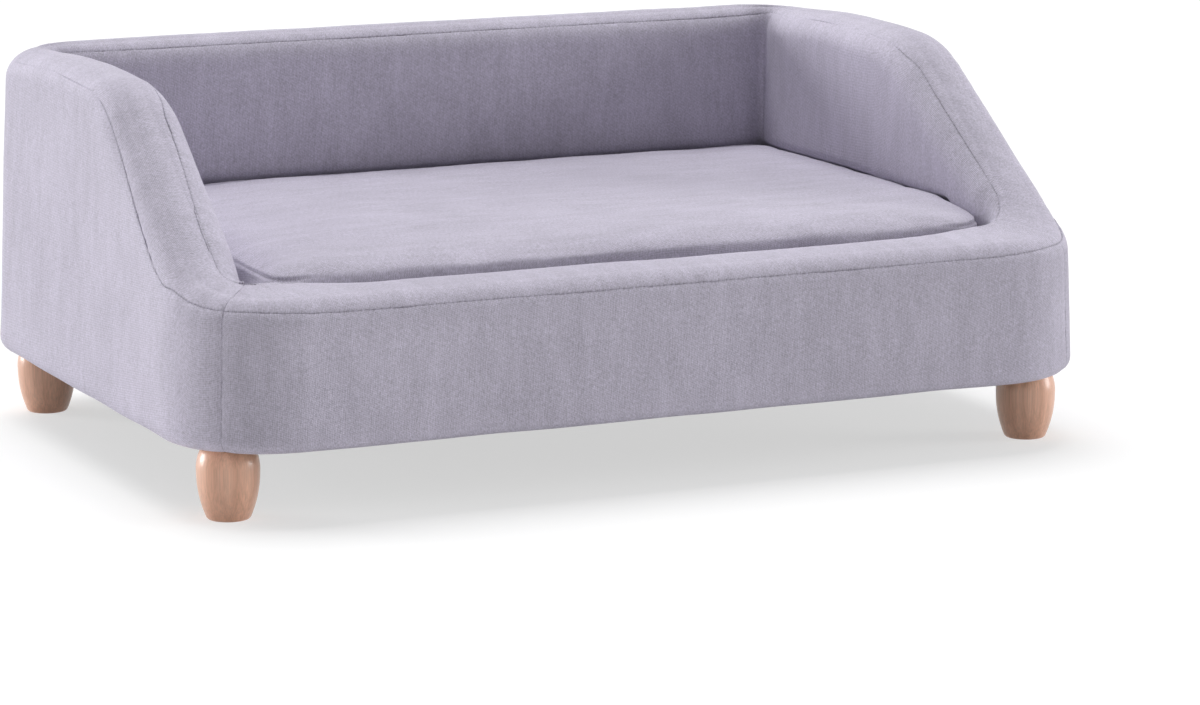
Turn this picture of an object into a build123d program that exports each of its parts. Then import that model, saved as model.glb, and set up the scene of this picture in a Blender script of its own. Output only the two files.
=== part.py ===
from build123d import *

import math
import os

# Overall sizes of the upholstered body, in millimetres
base_width = 972.0
base_depth = 698.0
overall_height = 380.0
leg_height = 70.0
rail_height = 213.0
wall_lean = 10.0
corner_radius = 112.0
foot_round = 14.0

# Walls round the seat well
arm_wall = 68.0
back_wall = 68.0
front_wall = 88.0
well_floor_height = 164.0
well_corner_radius = 18.0

# Sweep of the arms, from the high back down to the front rail
sweep_run = 230.0
sweep_middle = 196.0
upper_bend_radius = 100.0
lower_bend_radius = 130.0
rail_blend = 200.0

# Rounded crest, and how far below it the two border seams run
crest_outer_round = 22.0
crest_inner_round = 16.0
border_drop = 9.0

# Fabric, foam and plywood
cover_thickness = 2.0
side_foam = 8.0
well_foam = 12.0
crest_foam = 16.0
deck_foam_thickness = 20.0
ply_thickness = 6.0
hem_width = 34.0

# Timber base
board_thickness = 12.0
rail_thickness = 22.0
block_size = 120.0
post_width = 40.0
arm_post_shares = (-0.62, 0.05, 0.72)
wall_post_shares = (-0.78, 0.0, 0.78)

# Turned legs and their fixings
leg_inset_x = 56.0
leg_inset_y = 77.0
leg_bottom_radius = 21.0
leg_belly_radius = 30.0
leg_belly_height = 45.0
leg_shoulder_radius = 27.5
leg_shoulder_height = 62.0
leg_top_radius = 22.0
leg_edge_chamfer = 1.5
bolt_radius = 4.0
bolt_chamfer = 1.0
bolt_in_leg = 30.0
bolt_in_block = 20.0
insert_radius = 6.0
insert_length = 16.0
thread_gap = 0.1

# Screws that hold the seat board down
screw_radius = 2.0
screw_head_radius = 4.0
screw_length = 36.0
screw_bore_gap = 0.1
screws_along_rail = 3
screw_spacing_share = 0.36

# Dust cover under the base
dust_cover_thickness = 0.8
dust_cover_margin = 22.0
leg_cutout_gap = 2.0

# Loose seat cushion
cushion_left_gap = 40.0
cushion_right_gap = 5.0
cushion_rear_gap = 5.0
cushion_front_gap = 9.0
cushion_floor_gap = 0.6
cushion_edge_height = 57.0
cushion_crown = 10.0
cushion_front_corner = 36.0
cushion_rear_corner = 34.0
cushion_draw_in = 6.0
cushion_rear_draw_in = 9.0
cushion_top_round = 9.0
cushion_bottom_round = 6.0
cushion_cloth = 1.6

# Zip in the cushion's rear border
zip_length = 520.0
zip_height_share = 0.5
zip_slot_height = 12.0
zip_tape_height = 26.0
zip_tape_thickness = 0.8
coil_width = 4.6
coil_height = 2.0
slider_length = 13.0
slider_height = 10.0
slider_taper_angle = 82.0
slider_corner = 2.0
slider_cover = 1.4
slider_gap = 0.4
bridge_length = 8.0
bridge_thickness = 1.2
bridge_rise = 2.2
pull_length = 24.0
pull_height = 7.0
pull_corner = 2.3
pull_thickness = 1.0
pull_bar_radius = 0.6
pull_gap = 0.4

# One overrun for every cut, and the clearance where two pieces lie against each other
overrun = 40.0
seat_gap = 0.3

half_width = base_width / 2
half_depth = base_depth / 2
body_height = overall_height - leg_height
lean_degrees = math.degrees(math.atan(wall_lean / body_height))
sweep_angle = math.atan((overall_height - rail_height) / sweep_run)
well_half_width = half_width - arm_wall
well_back = half_depth - back_wall
well_front = half_depth - front_wall
frame_base = leg_height + cover_thickness
board_top = well_floor_height - cover_thickness - deck_foam_thickness
board_bottom = board_top - board_thickness
base_rail_height = board_bottom - frame_base
ply_outer_inset = cover_thickness + side_foam + wall_lean
ply_well_inset = cover_thickness + well_foam
ply_crest_drop = cover_thickness + crest_foam
timber_inset = ply_outer_inset + ply_thickness

os.makedirs("parts", exist_ok=True)


def save(node, name):
    """Label a finished piece and write it under its own name."""
    node.part.label = name
    export_step(node.part, f"parts/{name}.step")


def sweep_corners(drop):
    """The two corners of the arms' sweep line, before its bends, lowered square to it by drop."""
    steepness = math.tan(sweep_angle)
    middle_y = sweep_middle - half_depth
    middle_z = (overall_height + rail_height) / 2 - drop / math.cos(sweep_angle)
    top_z = overall_height - drop
    low_z = rail_height - drop
    upper = (middle_y + (top_z - middle_z) / steepness, top_z)
    lower = (middle_y - (middle_z - low_z) / steepness, low_z)
    return upper, lower


def above_crest(drop):
    """Everything above the crest of the arms, back and front rail, lowered by drop."""
    upper, lower = sweep_corners(drop)
    bend = lower_bend_radius + drop
    ceiling = overall_height + overrun
    front_end = -half_depth - overrun
    back_end = half_depth + overrun
    arm_x = well_half_width - well_corner_radius
    flat_x = arm_x - rail_blend
    arm_span = half_width + overrun - arm_x
    bend_foot = lower[0] - bend * math.tan(sweep_angle / 2)
    blend_end = well_corner_radius - well_front
    bend_middle = (bend_foot + blend_end) / 2

    def bend_height(y):
        return lower[1] + bend - math.sqrt(bend**2 - (y - bend_foot) ** 2)

    with BuildPart() as cutter:
        for side in (-1, 1):
            with BuildSketch(Plane.YZ.offset(side * (arm_x + arm_span / 2))):
                with BuildLine():
                    sweep_line = FilletPolyline(
                        (back_end, upper[1]),
                        upper,
                        lower,
                        (front_end, lower[1]),
                        radius=[upper_bend_radius - drop, bend],
                    )
                    Polyline(sweep_line @ 1, (front_end, ceiling), (back_end, ceiling), sweep_line @ 0)
                make_face()
            extrude(amount=arm_span / 2, both=True)
            with BuildSketch(Plane.YZ.offset(side * arm_x)):
                with BuildLine():
                    Line((front_end, lower[1]), (bend_foot, lower[1]))
                    ThreePointArc(
                        (bend_foot, lower[1]),
                        (bend_middle, bend_height(bend_middle)),
                        (blend_end, bend_height(blend_end)),
                    )
                    Line((blend_end, bend_height(blend_end)), (blend_end, ceiling))
                    Line((blend_end, ceiling), (front_end, ceiling))
                    Line((front_end, ceiling), (front_end, lower[1]))
                make_face()
            with BuildSketch(Plane.YZ.offset(side * flat_x)):
                with BuildLine():
                    Line((front_end, lower[1]), (bend_foot, lower[1]))
                    Line((bend_foot, lower[1]), (blend_end, lower[1]))
                    Line((blend_end, lower[1]), (blend_end, ceiling))
                    Line((blend_end, ceiling), (front_end, ceiling))
                    Line((front_end, ceiling), (front_end, lower[1]))
                make_face()
            loft(ruled=True)
        with BuildSketch(Plane.XY.offset(lower[1])):
            with Locations((0, (front_end + blend_end) / 2)):
                Rectangle(2 * flat_x, blend_end - front_end)
        extrude(amount=ceiling - lower[1])
        with BuildSketch(Plane.XY.offset(upper[1])):
            with Locations((0, back_end / 2)):
                Rectangle(2 * arm_x, back_end)
        extrude(amount=ceiling - upper[1])
    return cutter.part


def rim_edges(part, faces_out, floor):
    """Upper edges of the walls that face out of the body, or into the well, above floor."""
    middle_share = 0.5
    steepest_share = 0.5
    walls = []
    for face in part.faces():
        normal = face.normal_at()
        outward = normal.dot(face.position_at(middle_share, middle_share)) > 0
        if abs(normal.Z) < steepest_share and outward == faces_out:
            walls.append(face)
    edges = [edge for wall in walls for edge in wall.edges()]
    single = [edge for edge in edges if sum(edge.is_same(other) for other in edges) == 1]
    return ShapeList(edge for edge in single if edge.bounding_box().min.Z > floor)


def upholstery(inset):
    """The rounded body with its seat well, drawn in from its surface by inset."""
    with BuildPart() as tub:
        with BuildSketch(Plane.XY.offset(leg_height + inset)):
            RectangleRounded(base_width - 2 * inset, base_depth - 2 * inset, corner_radius - inset)
        extrude(amount=body_height, taper=lean_degrees)
        with BuildSketch(Plane.XY.offset(well_floor_height - inset)):
            with Locations((0, (well_back - well_front) / 2)):
                RectangleRounded(
                    2 * (well_half_width + inset),
                    well_back + well_front + 2 * inset,
                    well_corner_radius + inset,
                )
        extrude(amount=body_height, mode=Mode.SUBTRACT)
        add(above_crest(inset), mode=Mode.SUBTRACT)
        rim_floor = rail_height - 2 * inset - cover_thickness
        fillet(rim_edges(tub.part, True, rim_floor), radius=crest_outer_round - inset)
        fillet(rim_edges(tub.part, False, rim_floor), radius=crest_inner_round - inset)
        foot = tub.faces().sort_by(Axis.Z)[0].edges()
        fillet(foot, radius=foot_round - inset)
    return tub.part


def timber_body(inset, base):
    """The upright body of plywood and timber inside the foam, drawn in by inset, from base up."""
    outer = ply_outer_inset + inset
    well = ply_well_inset + inset
    with BuildPart() as body:
        with BuildSketch(Plane.XY.offset(base)):
            RectangleRounded(base_width - 2 * outer, base_depth - 2 * outer, corner_radius - outer)
        extrude(amount=overall_height - ply_crest_drop - inset - base)
        with BuildSketch(Plane.XY.offset(board_top)):
            with Locations((0, (well_back - well_front) / 2)):
                RectangleRounded(
                    2 * (well_half_width + well),
                    well_back + well_front + 2 * well,
                    well_corner_radius + well,
                )
        extrude(amount=overall_height, mode=Mode.SUBTRACT)
        add(above_crest(ply_crest_drop + inset), mode=Mode.SUBTRACT)
    return body.part


def prism(points, bottom, top):
    """An upright prism on an outline of plan points."""
    with BuildPart() as block:
        with BuildSketch(Plane.XY.offset(bottom)):
            with BuildLine():
                Polyline(*points, close=True)
            make_face()
        extrude(amount=top - bottom)
    return block.part


def sector(side):
    """The part of the plan that belongs to one wall, cut at mitres through the corners."""
    arc_share = 1 - math.sqrt(1 / 2)
    outer_x = half_width - corner_radius * arc_share
    outer_y = half_depth - corner_radius * arc_share
    well_x = well_half_width - well_corner_radius * arc_share
    front_y = -well_front + well_corner_radius * arc_share
    back_y = well_back - well_corner_radius * arc_share

    def stretched(x, y, from_x, from_y):
        """A point on the mitre line, outside the square corner of the body."""
        reach = 1 + (corner_radius + overrun) / math.hypot(x - from_x, y - from_y)
        return (from_x + (x - from_x) * reach, from_y + (y - from_y) * reach)

    front_left = stretched(-outer_x, -outer_y, -well_x, front_y)
    front_right = stretched(outer_x, -outer_y, well_x, front_y)
    back_right = stretched(outer_x, outer_y, well_x, back_y)
    back_left = stretched(-outer_x, outer_y, -well_x, back_y)
    inner = {
        "front_left": (-well_x, front_y),
        "front_right": (well_x, front_y),
        "back_right": (well_x, back_y),
        "back_left": (-well_x, back_y),
    }
    outlines = {
        "front": (front_left, front_right, inner["front_right"], inner["front_left"]),
        "right": (front_right, back_right, inner["back_right"], inner["front_right"]),
        "back": (back_right, back_left, inner["back_left"], inner["back_right"]),
        "left": (back_left, front_left, inner["front_left"], inner["back_left"]),
    }
    return prism(outlines[side], -overrun, overall_height + overrun)


sectors = {side: sector(side) for side in ("front", "right", "back", "left")}

# Legs, turned with a swelling belly and a drawn-in shoulder
leg_pilot_depth = bolt_in_leg + seat_gap
leg_reach_x = half_width - leg_inset_x
leg_reach_y = half_depth - leg_inset_y
leg_places = {
    "front_left": (-leg_reach_x, -leg_reach_y),
    "front_right": (leg_reach_x, -leg_reach_y),
    "back_left": (-leg_reach_x, leg_reach_y),
    "back_right": (leg_reach_x, leg_reach_y),
}
for corner, (leg_x, leg_y) in leg_places.items():
    with BuildPart() as leg:
        with BuildSketch(Plane.XZ):
            with BuildLine():
                Line((0, 0), (leg_bottom_radius - leg_edge_chamfer, 0))
                Line((leg_bottom_radius - leg_edge_chamfer, 0), (leg_bottom_radius, leg_edge_chamfer))
                TangentArc(
                    (leg_belly_radius, leg_belly_height),
                    (leg_bottom_radius, leg_edge_chamfer),
                    tangent=(0, -1),
                )
                ThreePointArc(
                    (leg_belly_radius, leg_belly_height),
                    (leg_shoulder_radius, leg_shoulder_height),
                    (leg_top_radius, frame_base),
                )
                Line((leg_top_radius, frame_base), (0, frame_base))
                Line((0, frame_base), (0, 0))
            make_face()
        revolve(axis=Axis.Z)
        with Locations((0, 0, frame_base)):
            Hole(bolt_radius + thread_gap, depth=leg_pilot_depth)
    leg.part = leg.part.moved(Location((leg_x, leg_y, 0)))
    save(leg, f"leg_{corner}")

# Bolts and threaded inserts that hold the legs
with BuildPart() as leg_bolts:
    with BuildSketch(Plane.XY.offset(frame_base - bolt_in_leg)):
        with Locations(*leg_places.values()):
            Circle(bolt_radius)
    extrude(amount=bolt_in_leg + bolt_in_block)
    chamfer(leg_bolts.edges().group_by(Axis.Z)[-1], length=bolt_chamfer)
save(leg_bolts, "leg_bolts")

with BuildPart() as leg_inserts:
    with BuildSketch(Plane.XY.offset(frame_base)):
        with Locations(*leg_places.values()):
            Circle(insert_radius)
            Circle(bolt_radius + thread_gap, mode=Mode.SUBTRACT)
    extrude(amount=insert_length)
save(leg_inserts, "leg_inserts")

# Timber base: corner blocks, rails between them and the seat board on top
timber_x = half_width - timber_inset
timber_y = half_depth - timber_inset
timber_corner = corner_radius - timber_inset
block_x = timber_x - block_size / 2
block_y = timber_y - block_size / 2
rail_x = timber_x - rail_thickness / 2
rail_y = timber_y - rail_thickness / 2
screw_run_x = 2 * (timber_x - block_size) * screw_spacing_share
screw_run_y = 2 * (timber_y - block_size) * screw_spacing_share
screw_rows = {
    "front": [((i - 1) * screw_run_x, -rail_y) for i in range(screws_along_rail)],
    "back": [((i - 1) * screw_run_x, rail_y) for i in range(screws_along_rail)],
    "left": [(-rail_x, (i - 1) * screw_run_y) for i in range(screws_along_rail)],
    "right": [(rail_x, (i - 1) * screw_run_y) for i in range(screws_along_rail)],
}
block_screws = [(x_side * block_x, y_side * block_y) for x_side in (-1, 1) for y_side in (-1, 1)]
screw_places = [place for row in screw_rows.values() for place in row] + block_screws
screw_bore = screw_radius + screw_bore_gap
screw_bore_depth = screw_length - board_thickness + seat_gap

for corner, (leg_x, leg_y) in leg_places.items():
    x_side = math.copysign(1, leg_x)
    y_side = math.copysign(1, leg_y)
    with BuildPart() as block:
        with BuildSketch(Plane.XY.offset(frame_base)):
            with Locations((x_side * block_x, y_side * block_y)):
                Rectangle(block_size, block_size)
        extrude(amount=base_rail_height)
        outer_edge = block.edges().filter_by(Axis.Z).sort_by(
            lambda edge: x_side * edge.center().X + y_side * edge.center().Y
        )[-1]
        fillet(outer_edge, radius=timber_corner)
        with Locations(Location((leg_x, leg_y, frame_base), (180, 0, 0))):
            Hole(insert_radius + thread_gap, depth=insert_length + thread_gap)
            Hole(bolt_radius + thread_gap, depth=bolt_in_block + seat_gap)
        with Locations((x_side * block_x, y_side * block_y, board_bottom)):
            Hole(screw_bore, depth=screw_bore_depth)
    save(block, f"block_{corner}")

for side, along_x in (("front", True), ("back", True), ("left", False), ("right", False)):
    length = 2 * ((timber_x if along_x else timber_y) - block_size)
    place = {"front": (0, -rail_y), "back": (0, rail_y), "left": (-rail_x, 0), "right": (rail_x, 0)}[side]
    with BuildPart() as rail:
        with BuildSketch(Plane.XY.offset(frame_base)):
            with Locations(place):
                Rectangle(length if along_x else rail_thickness, rail_thickness if along_x else length)
        extrude(amount=base_rail_height)
        with Locations(*[(x, y, board_bottom) for x, y in screw_rows[side]]):
            Hole(screw_bore, depth=screw_bore_depth)
    save(rail, f"base_rail_{side}")

with BuildPart() as seat_board:
    with BuildSketch(Plane.XY.offset(board_bottom)):
        RectangleRounded(2 * timber_x, 2 * timber_y, timber_corner)
    extrude(amount=board_thickness)
    with Locations(*[(x, y, board_top) for x, y in screw_places]):
        CounterSinkHole(screw_bore, screw_head_radius + screw_bore_gap, board_thickness)
save(seat_board, "seat_board")

with BuildPart() as board_screw:
    with BuildSketch(Plane.XZ):
        with BuildLine():
            Polyline(
                (0, board_top),
                (screw_head_radius, board_top),
                (screw_radius, board_top - screw_head_radius + screw_radius),
                (screw_radius, board_top - screw_length + 2 * screw_radius),
                (0, board_top - screw_length),
                close=True,
            )
        make_face()
    revolve(axis=Axis.Z)
with BuildPart() as board_screws:
    with Locations(*screw_places):
        add(board_screw.part)
save(board_screws, "board_screws")

# Plywood panels and caps that give the walls their shape
timber_full = timber_body(0, frame_base)
timber_inside = timber_body(ply_thickness, frame_base - overrun)
cap_zone = above_crest(ply_crest_drop + ply_thickness)
well_ply_x = well_half_width + ply_well_inset
well_ply_back = well_back + ply_well_inset
well_ply_front = well_front + ply_well_inset
straight_x = half_width - corner_radius
straight_y = half_depth - corner_radius
far_x = half_width + overrun
far_y = half_depth + overrun
far_z = overall_height + overrun


def block_between(low, high):
    """An upright box between two opposite corners."""
    return prism(
        ((low[0], low[1]), (high[0], low[1]), (high[0], high[1]), (low[0], high[1])),
        low[2],
        high[2],
    )


with BuildPart() as ply_walls:
    add(timber_full)
    add(timber_inside, mode=Mode.SUBTRACT)
    add(cap_zone, mode=Mode.SUBTRACT)

skin_reach = ply_well_inset + ply_thickness + seat_gap
with BuildPart() as well_skin_zone:
    with BuildSketch(Plane.XY.offset(board_top - overrun)):
        with Locations((0, (well_back - well_front) / 2)):
            RectangleRounded(
                2 * (well_half_width + skin_reach),
                well_back + well_front + 2 * skin_reach,
                well_corner_radius + skin_reach,
            )
    extrude(amount=far_z - board_top + overrun)

panel_blocks = {
    "outer_panel_left": ((-far_x, -straight_y), (-straight_x, straight_y)),
    "outer_panel_right": ((straight_x, -straight_y), (far_x, straight_y)),
    "outer_panel_front": ((-straight_x, -far_y), (straight_x, -straight_y)),
    "outer_panel_back": ((-straight_x, straight_y), (straight_x, far_y)),
    "corner_panel_front_left": ((-far_x, -far_y), (-straight_x, -straight_y)),
    "corner_panel_front_right": ((straight_x, -far_y), (far_x, -straight_y)),
    "corner_panel_back_left": ((-far_x, straight_y), (-straight_x, far_y)),
    "corner_panel_back_right": ((straight_x, straight_y), (far_x, far_y)),
}
for name, (low, high) in panel_blocks.items():
    with BuildPart() as panel:
        add(ply_walls.part)
        add(well_skin_zone.part, mode=Mode.SUBTRACT)
        add(block_between((*low, 0), (*high, far_z)), mode=Mode.INTERSECT)
    save(panel, name)

for side, region in sectors.items():
    with BuildPart() as panel:
        add(ply_walls.part)
        add(well_skin_zone.part, mode=Mode.INTERSECT)
        add(region, mode=Mode.INTERSECT)
    save(panel, f"inner_panel_{side}")

for side, region in sectors.items():
    with BuildPart() as cap:
        add(timber_full)
        add(timber_inside, mode=Mode.SUBTRACT)
        add(cap_zone, mode=Mode.INTERSECT)
        add(region, mode=Mode.INTERSECT)
    save(cap, f"crest_cap_{side}")

# Posts between the two skins of each wall
arm_post_thickness = timber_x - well_ply_x - ply_thickness
arm_post_x = (timber_x + well_ply_x + ply_thickness) / 2
back_post_thickness = timber_y - well_ply_back - ply_thickness
back_post_y = (timber_y + well_ply_back + ply_thickness) / 2
front_post_thickness = timber_y - well_ply_front - ply_thickness
front_post_y = -(timber_y + well_ply_front + ply_thickness) / 2
post_places = {
    "left": [(-arm_post_x, y_share * straight_y) for y_share in arm_post_shares],
    "right": [(arm_post_x, y_share * straight_y) for y_share in arm_post_shares],
    "back": [(x_share * straight_x, back_post_y) for x_share in wall_post_shares],
    "front": [(x_share * straight_x, front_post_y) for x_share in wall_post_shares],
}
post_depths = {
    "left": (arm_post_thickness, post_width),
    "right": (arm_post_thickness, post_width),
    "back": (post_width, back_post_thickness),
    "front": (post_width, front_post_thickness),
}
for side, places in post_places.items():
    with BuildPart() as posts:
        with BuildSketch(Plane.XY.offset(board_top)):
            with Locations(*places):
                Rectangle(*post_depths[side])
        extrude(amount=overall_height - ply_crest_drop - ply_thickness - board_top)
        add(cap_zone, mode=Mode.SUBTRACT)
    save(posts, f"posts_{side}")

# Foam over the timber
cover_outside = upholstery(0)
foam_outside = upholstery(cover_thickness)
deck_zone = block_between(
    (-well_ply_x, -well_ply_front, board_top),
    (well_ply_x, well_ply_back, well_floor_height - cover_thickness),
)
with BuildPart() as foam:
    add(foam_outside)
    add(timber_full, mode=Mode.SUBTRACT)
for side, region in sectors.items():
    with BuildPart() as wall_foam:
        add(foam.part)
        add(deck_zone, mode=Mode.SUBTRACT)
        add(region, mode=Mode.INTERSECT)
    save(wall_foam, f"foam_{side}")
with BuildPart() as deck_foam:
    add(foam.part)
    add(deck_zone, mode=Mode.INTERSECT)
save(deck_foam, "foam_deck")

# Sewn cover: outer front, wrap round the arms and back, border strips and the lining of the well
hem_x = half_width - hem_width
hem_y = half_depth - hem_width
with BuildPart() as cover:
    add(cover_outside)
    add(foam_outside, mode=Mode.SUBTRACT)
    with BuildSketch(Plane.XY.offset(leg_height - overrun)):
        RectangleRounded(2 * hem_x, 2 * hem_y, corner_radius - hem_width)
        with Locations(*leg_places.values()):
            Circle(leg_top_radius + leg_cutout_gap)
    extrude(amount=overrun + 2 * cover_thickness, mode=Mode.SUBTRACT)

border_zone = above_crest(border_drop)
well_zone = block_between(
    (-well_ply_x, -well_ply_front, board_top),
    (well_ply_x, well_ply_back, far_z),
)
lining_floor = block_between((-far_x, -far_y, 0), (far_x, far_y, well_floor_height))

with BuildPart() as front_border:
    add(cover.part)
    add(border_zone, mode=Mode.INTERSECT)
    add(sectors["front"], mode=Mode.INTERSECT)
save(front_border, "border_front")

with BuildPart() as wrap_border:
    add(cover.part)
    add(border_zone, mode=Mode.INTERSECT)
    add(sectors["front"], mode=Mode.SUBTRACT)
save(wrap_border, "border_wrap")

with BuildPart() as cover_front:
    add(cover.part)
    add(border_zone, mode=Mode.SUBTRACT)
    add(well_zone, mode=Mode.SUBTRACT)
    add(sectors["front"], mode=Mode.INTERSECT)
save(cover_front, "cover_front")

with BuildPart() as cover_wrap:
    add(cover.part)
    add(border_zone, mode=Mode.SUBTRACT)
    add(well_zone, mode=Mode.SUBTRACT)
    add(sectors["front"], mode=Mode.SUBTRACT)
save(cover_wrap, "cover_wrap")

for side, region in sectors.items():
    with BuildPart() as lining:
        add(cover.part)
        add(border_zone, mode=Mode.SUBTRACT)
        add(well_zone, mode=Mode.INTERSECT)
        add(lining_floor, mode=Mode.SUBTRACT)
        add(region, mode=Mode.INTERSECT)
    save(lining, f"lining_{side}")

with BuildPart() as deck_cloth:
    add(cover.part)
    add(well_zone, mode=Mode.INTERSECT)
    add(lining_floor, mode=Mode.INTERSECT)
save(deck_cloth, "deck_cloth")

with BuildPart() as dust_cover:
    with BuildSketch(Plane.XY.offset(leg_height - dust_cover_thickness)):
        RectangleRounded(
            2 * (half_width - dust_cover_margin),
            2 * (half_depth - dust_cover_margin),
            corner_radius - dust_cover_margin,
        )
        with Locations(*leg_places.values()):
            Circle(leg_top_radius + leg_cutout_gap, mode=Mode.SUBTRACT)
    extrude(amount=dust_cover_thickness)
save(dust_cover, "dust_cover")

# Loose cushion
cushion_half_width = well_half_width - (cushion_left_gap + cushion_right_gap) / 2
cushion_middle_x = (cushion_left_gap - cushion_right_gap) / 2
cushion_rear_y = well_back - cushion_rear_gap
cushion_front_y = -well_front + cushion_front_gap
cushion_middle_y = (cushion_rear_y + cushion_front_y) / 2
cushion_half_depth = (cushion_rear_y - cushion_front_y) / 2
cushion_bottom = well_floor_height + cushion_floor_gap
cushion_top = cushion_bottom + cushion_edge_height + cushion_crown
cushion_reach = math.hypot(cushion_half_width, cushion_half_depth)
crown_radius = (cushion_reach**2 + cushion_crown**2) / (2 * cushion_crown)
zip_face_y = cushion_rear_y - cushion_rear_draw_in
zip_flat_x = zip_length / 2 + pull_length + slider_length / 2


def cushion_body(inset):
    """The crowned cushion with drawn-in sides about its own middle, drawn in by inset."""
    side_x = cushion_half_width - inset
    rear_y = cushion_rear_y - inset
    front_y = cushion_front_y + inset
    zip_y = zip_face_y - inset
    with BuildPart() as body:
        with BuildSketch(Plane.XY.offset(cushion_bottom + inset)) as outline:
            with BuildLine():
                Line((-zip_flat_x, zip_y), (zip_flat_x, zip_y))
                Line((zip_flat_x, zip_y), (side_x, rear_y))
                ThreePointArc((side_x, rear_y), (side_x - cushion_draw_in, cushion_middle_y), (side_x, front_y))
                ThreePointArc((side_x, front_y), (0, front_y + cushion_draw_in), (-side_x, front_y))
                ThreePointArc((-side_x, front_y), (-side_x + cushion_draw_in, cushion_middle_y), (-side_x, rear_y))
                Line((-side_x, rear_y), (-zip_flat_x, zip_y))
            make_face()
            fillet(outline.vertices().sort_by(Axis.Y)[-2:], radius=cushion_rear_corner - inset)
            fillet(outline.vertices().sort_by(Axis.Y)[:2], radius=cushion_front_corner - inset)
        extrude(amount=cushion_top - cushion_bottom)
        with Locations((0, cushion_middle_y, cushion_top - inset - crown_radius)):
            Sphere(crown_radius, rotation=(90, 0, 0), mode=Mode.INTERSECT)
        top_face = body.faces().sort_by(Axis.Z)[-1]
        fillet(top_face.edges(), radius=cushion_top_round - inset)
        bottom_face = body.faces().sort_by(Axis.Z)[0]
        fillet(bottom_face.edges(), radius=cushion_bottom_round - inset)
    return body.part


zip_z = cushion_bottom + zip_height_share * cushion_edge_height
tape_face_y = zip_face_y - cushion_cloth
tape_back_y = tape_face_y - zip_tape_thickness
tape_half_length = zip_length / 2 + zip_slot_height
coil_top_y = tape_face_y + coil_height

with BuildPart() as cushion_cover:
    with Locations((cushion_middle_x, 0, 0)):
        add(cushion_body(0))
        add(cushion_body(cushion_cloth), mode=Mode.SUBTRACT)
        add(
            block_between(
                (-zip_length / 2, tape_back_y, zip_z - zip_slot_height / 2),
                (zip_length / 2, zip_face_y + overrun, zip_z + zip_slot_height / 2),
            ),
            mode=Mode.SUBTRACT,
        )
save(cushion_cover, "cushion_cover")

with BuildPart() as cushion_foam:
    with Locations((cushion_middle_x, 0, 0)):
        add(cushion_body(cushion_cloth))
        add(
            block_between(
                (-tape_half_length, tape_back_y, zip_z - zip_tape_height / 2),
                (tape_half_length, zip_face_y + overrun, zip_z + zip_tape_height / 2),
            ),
            mode=Mode.SUBTRACT,
        )
save(cushion_foam, "cushion_foam")

with BuildPart() as zip_tape:
    with BuildSketch(Plane.XZ.offset(-tape_face_y)):
        with Locations((cushion_middle_x, zip_z)):
            Rectangle(2 * tape_half_length, zip_tape_height)
    extrude(amount=zip_tape_thickness)
save(zip_tape, "zip_tape")

with BuildPart() as zip_coil:
    with BuildSketch(Plane.YZ.offset(cushion_middle_x - zip_length / 2)):
        with BuildLine():
            Line((tape_face_y, zip_z - coil_width / 2), (tape_face_y, zip_z + coil_width / 2))
            ThreePointArc(
                (tape_face_y, zip_z + coil_width / 2),
                (coil_top_y, zip_z),
                (tape_face_y, zip_z - coil_width / 2),
            )
        make_face()
    extrude(amount=zip_length)
save(zip_coil, "zip_coil")

# Slider and pull, parked at the right end of the closed zip
slider_x = cushion_middle_x + zip_length / 2 - slider_length
slider_inner_y = tape_face_y + slider_gap
slider_outer_y = coil_top_y + slider_gap + slider_cover
pull_axis_y = slider_outer_y + seat_gap + pull_bar_radius
bridge_inner_y = pull_axis_y + pull_bar_radius + seat_gap
bridge_outer_y = bridge_inner_y + bridge_thickness
pull_start_x = slider_x - pull_bar_radius
pull_eye_length = pull_bar_radius + bridge_length / 2 + pull_gap + bridge_thickness
pull_eye_height = bridge_rise + 2 * pull_gap

with BuildPart() as zip_slider:
    with BuildSketch(Plane.XZ.offset(-slider_inner_y)):
        with Locations((slider_x, zip_z)):
            Trapezoid(slider_height, slider_length, slider_taper_angle, rotation=-90)
        fillet(vertices(), radius=slider_corner)
    extrude(amount=slider_inner_y - slider_outer_y)
    add(
        block_between(
            (slider_x - slider_length, slider_inner_y - overrun, zip_z - coil_width / 2 - slider_gap),
            (slider_x + slider_length, coil_top_y + slider_gap, zip_z + coil_width / 2 + slider_gap),
        ),
        mode=Mode.SUBTRACT,
    )
    with BuildSketch(Plane.XY.offset(zip_z)):
        with BuildLine():
            Polyline(
                (slider_x - bridge_length / 2, slider_outer_y),
                (slider_x - bridge_length / 2, bridge_outer_y),
                (slider_x + bridge_length / 2, bridge_outer_y),
                (slider_x + bridge_length / 2, slider_outer_y),
                close=True,
            )
        make_face()
        fillet(vertices().group_by(Axis.Y)[-1], radius=bridge_thickness)
        with Locations((slider_x, (slider_outer_y + bridge_inner_y) / 2)):
            Rectangle(
                bridge_length - 2 * bridge_thickness,
                bridge_inner_y - slider_outer_y,
                mode=Mode.SUBTRACT,
            )
    extrude(amount=bridge_rise / 2, both=True)
save(zip_slider, "zip_slider")

with BuildPart() as zip_pull:
    with BuildSketch(Plane.XZ.offset(-pull_axis_y)):
        with Locations((pull_start_x, zip_z)):
            Rectangle(pull_length, pull_height, align=(Align.MIN, Align.CENTER))
        fillet(vertices().group_by(Axis.X)[-1], radius=pull_corner)
        with Locations((pull_start_x, zip_z)):
            Rectangle(
                pull_eye_length,
                pull_eye_height,
                align=(Align.MIN, Align.CENTER),
                mode=Mode.SUBTRACT,
            )
    extrude(amount=pull_thickness / 2, both=True)
    with Locations((slider_x, pull_axis_y, zip_z)):
        Cylinder(pull_bar_radius, pull_eye_height)
save(zip_pull, "zip_pull")
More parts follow.
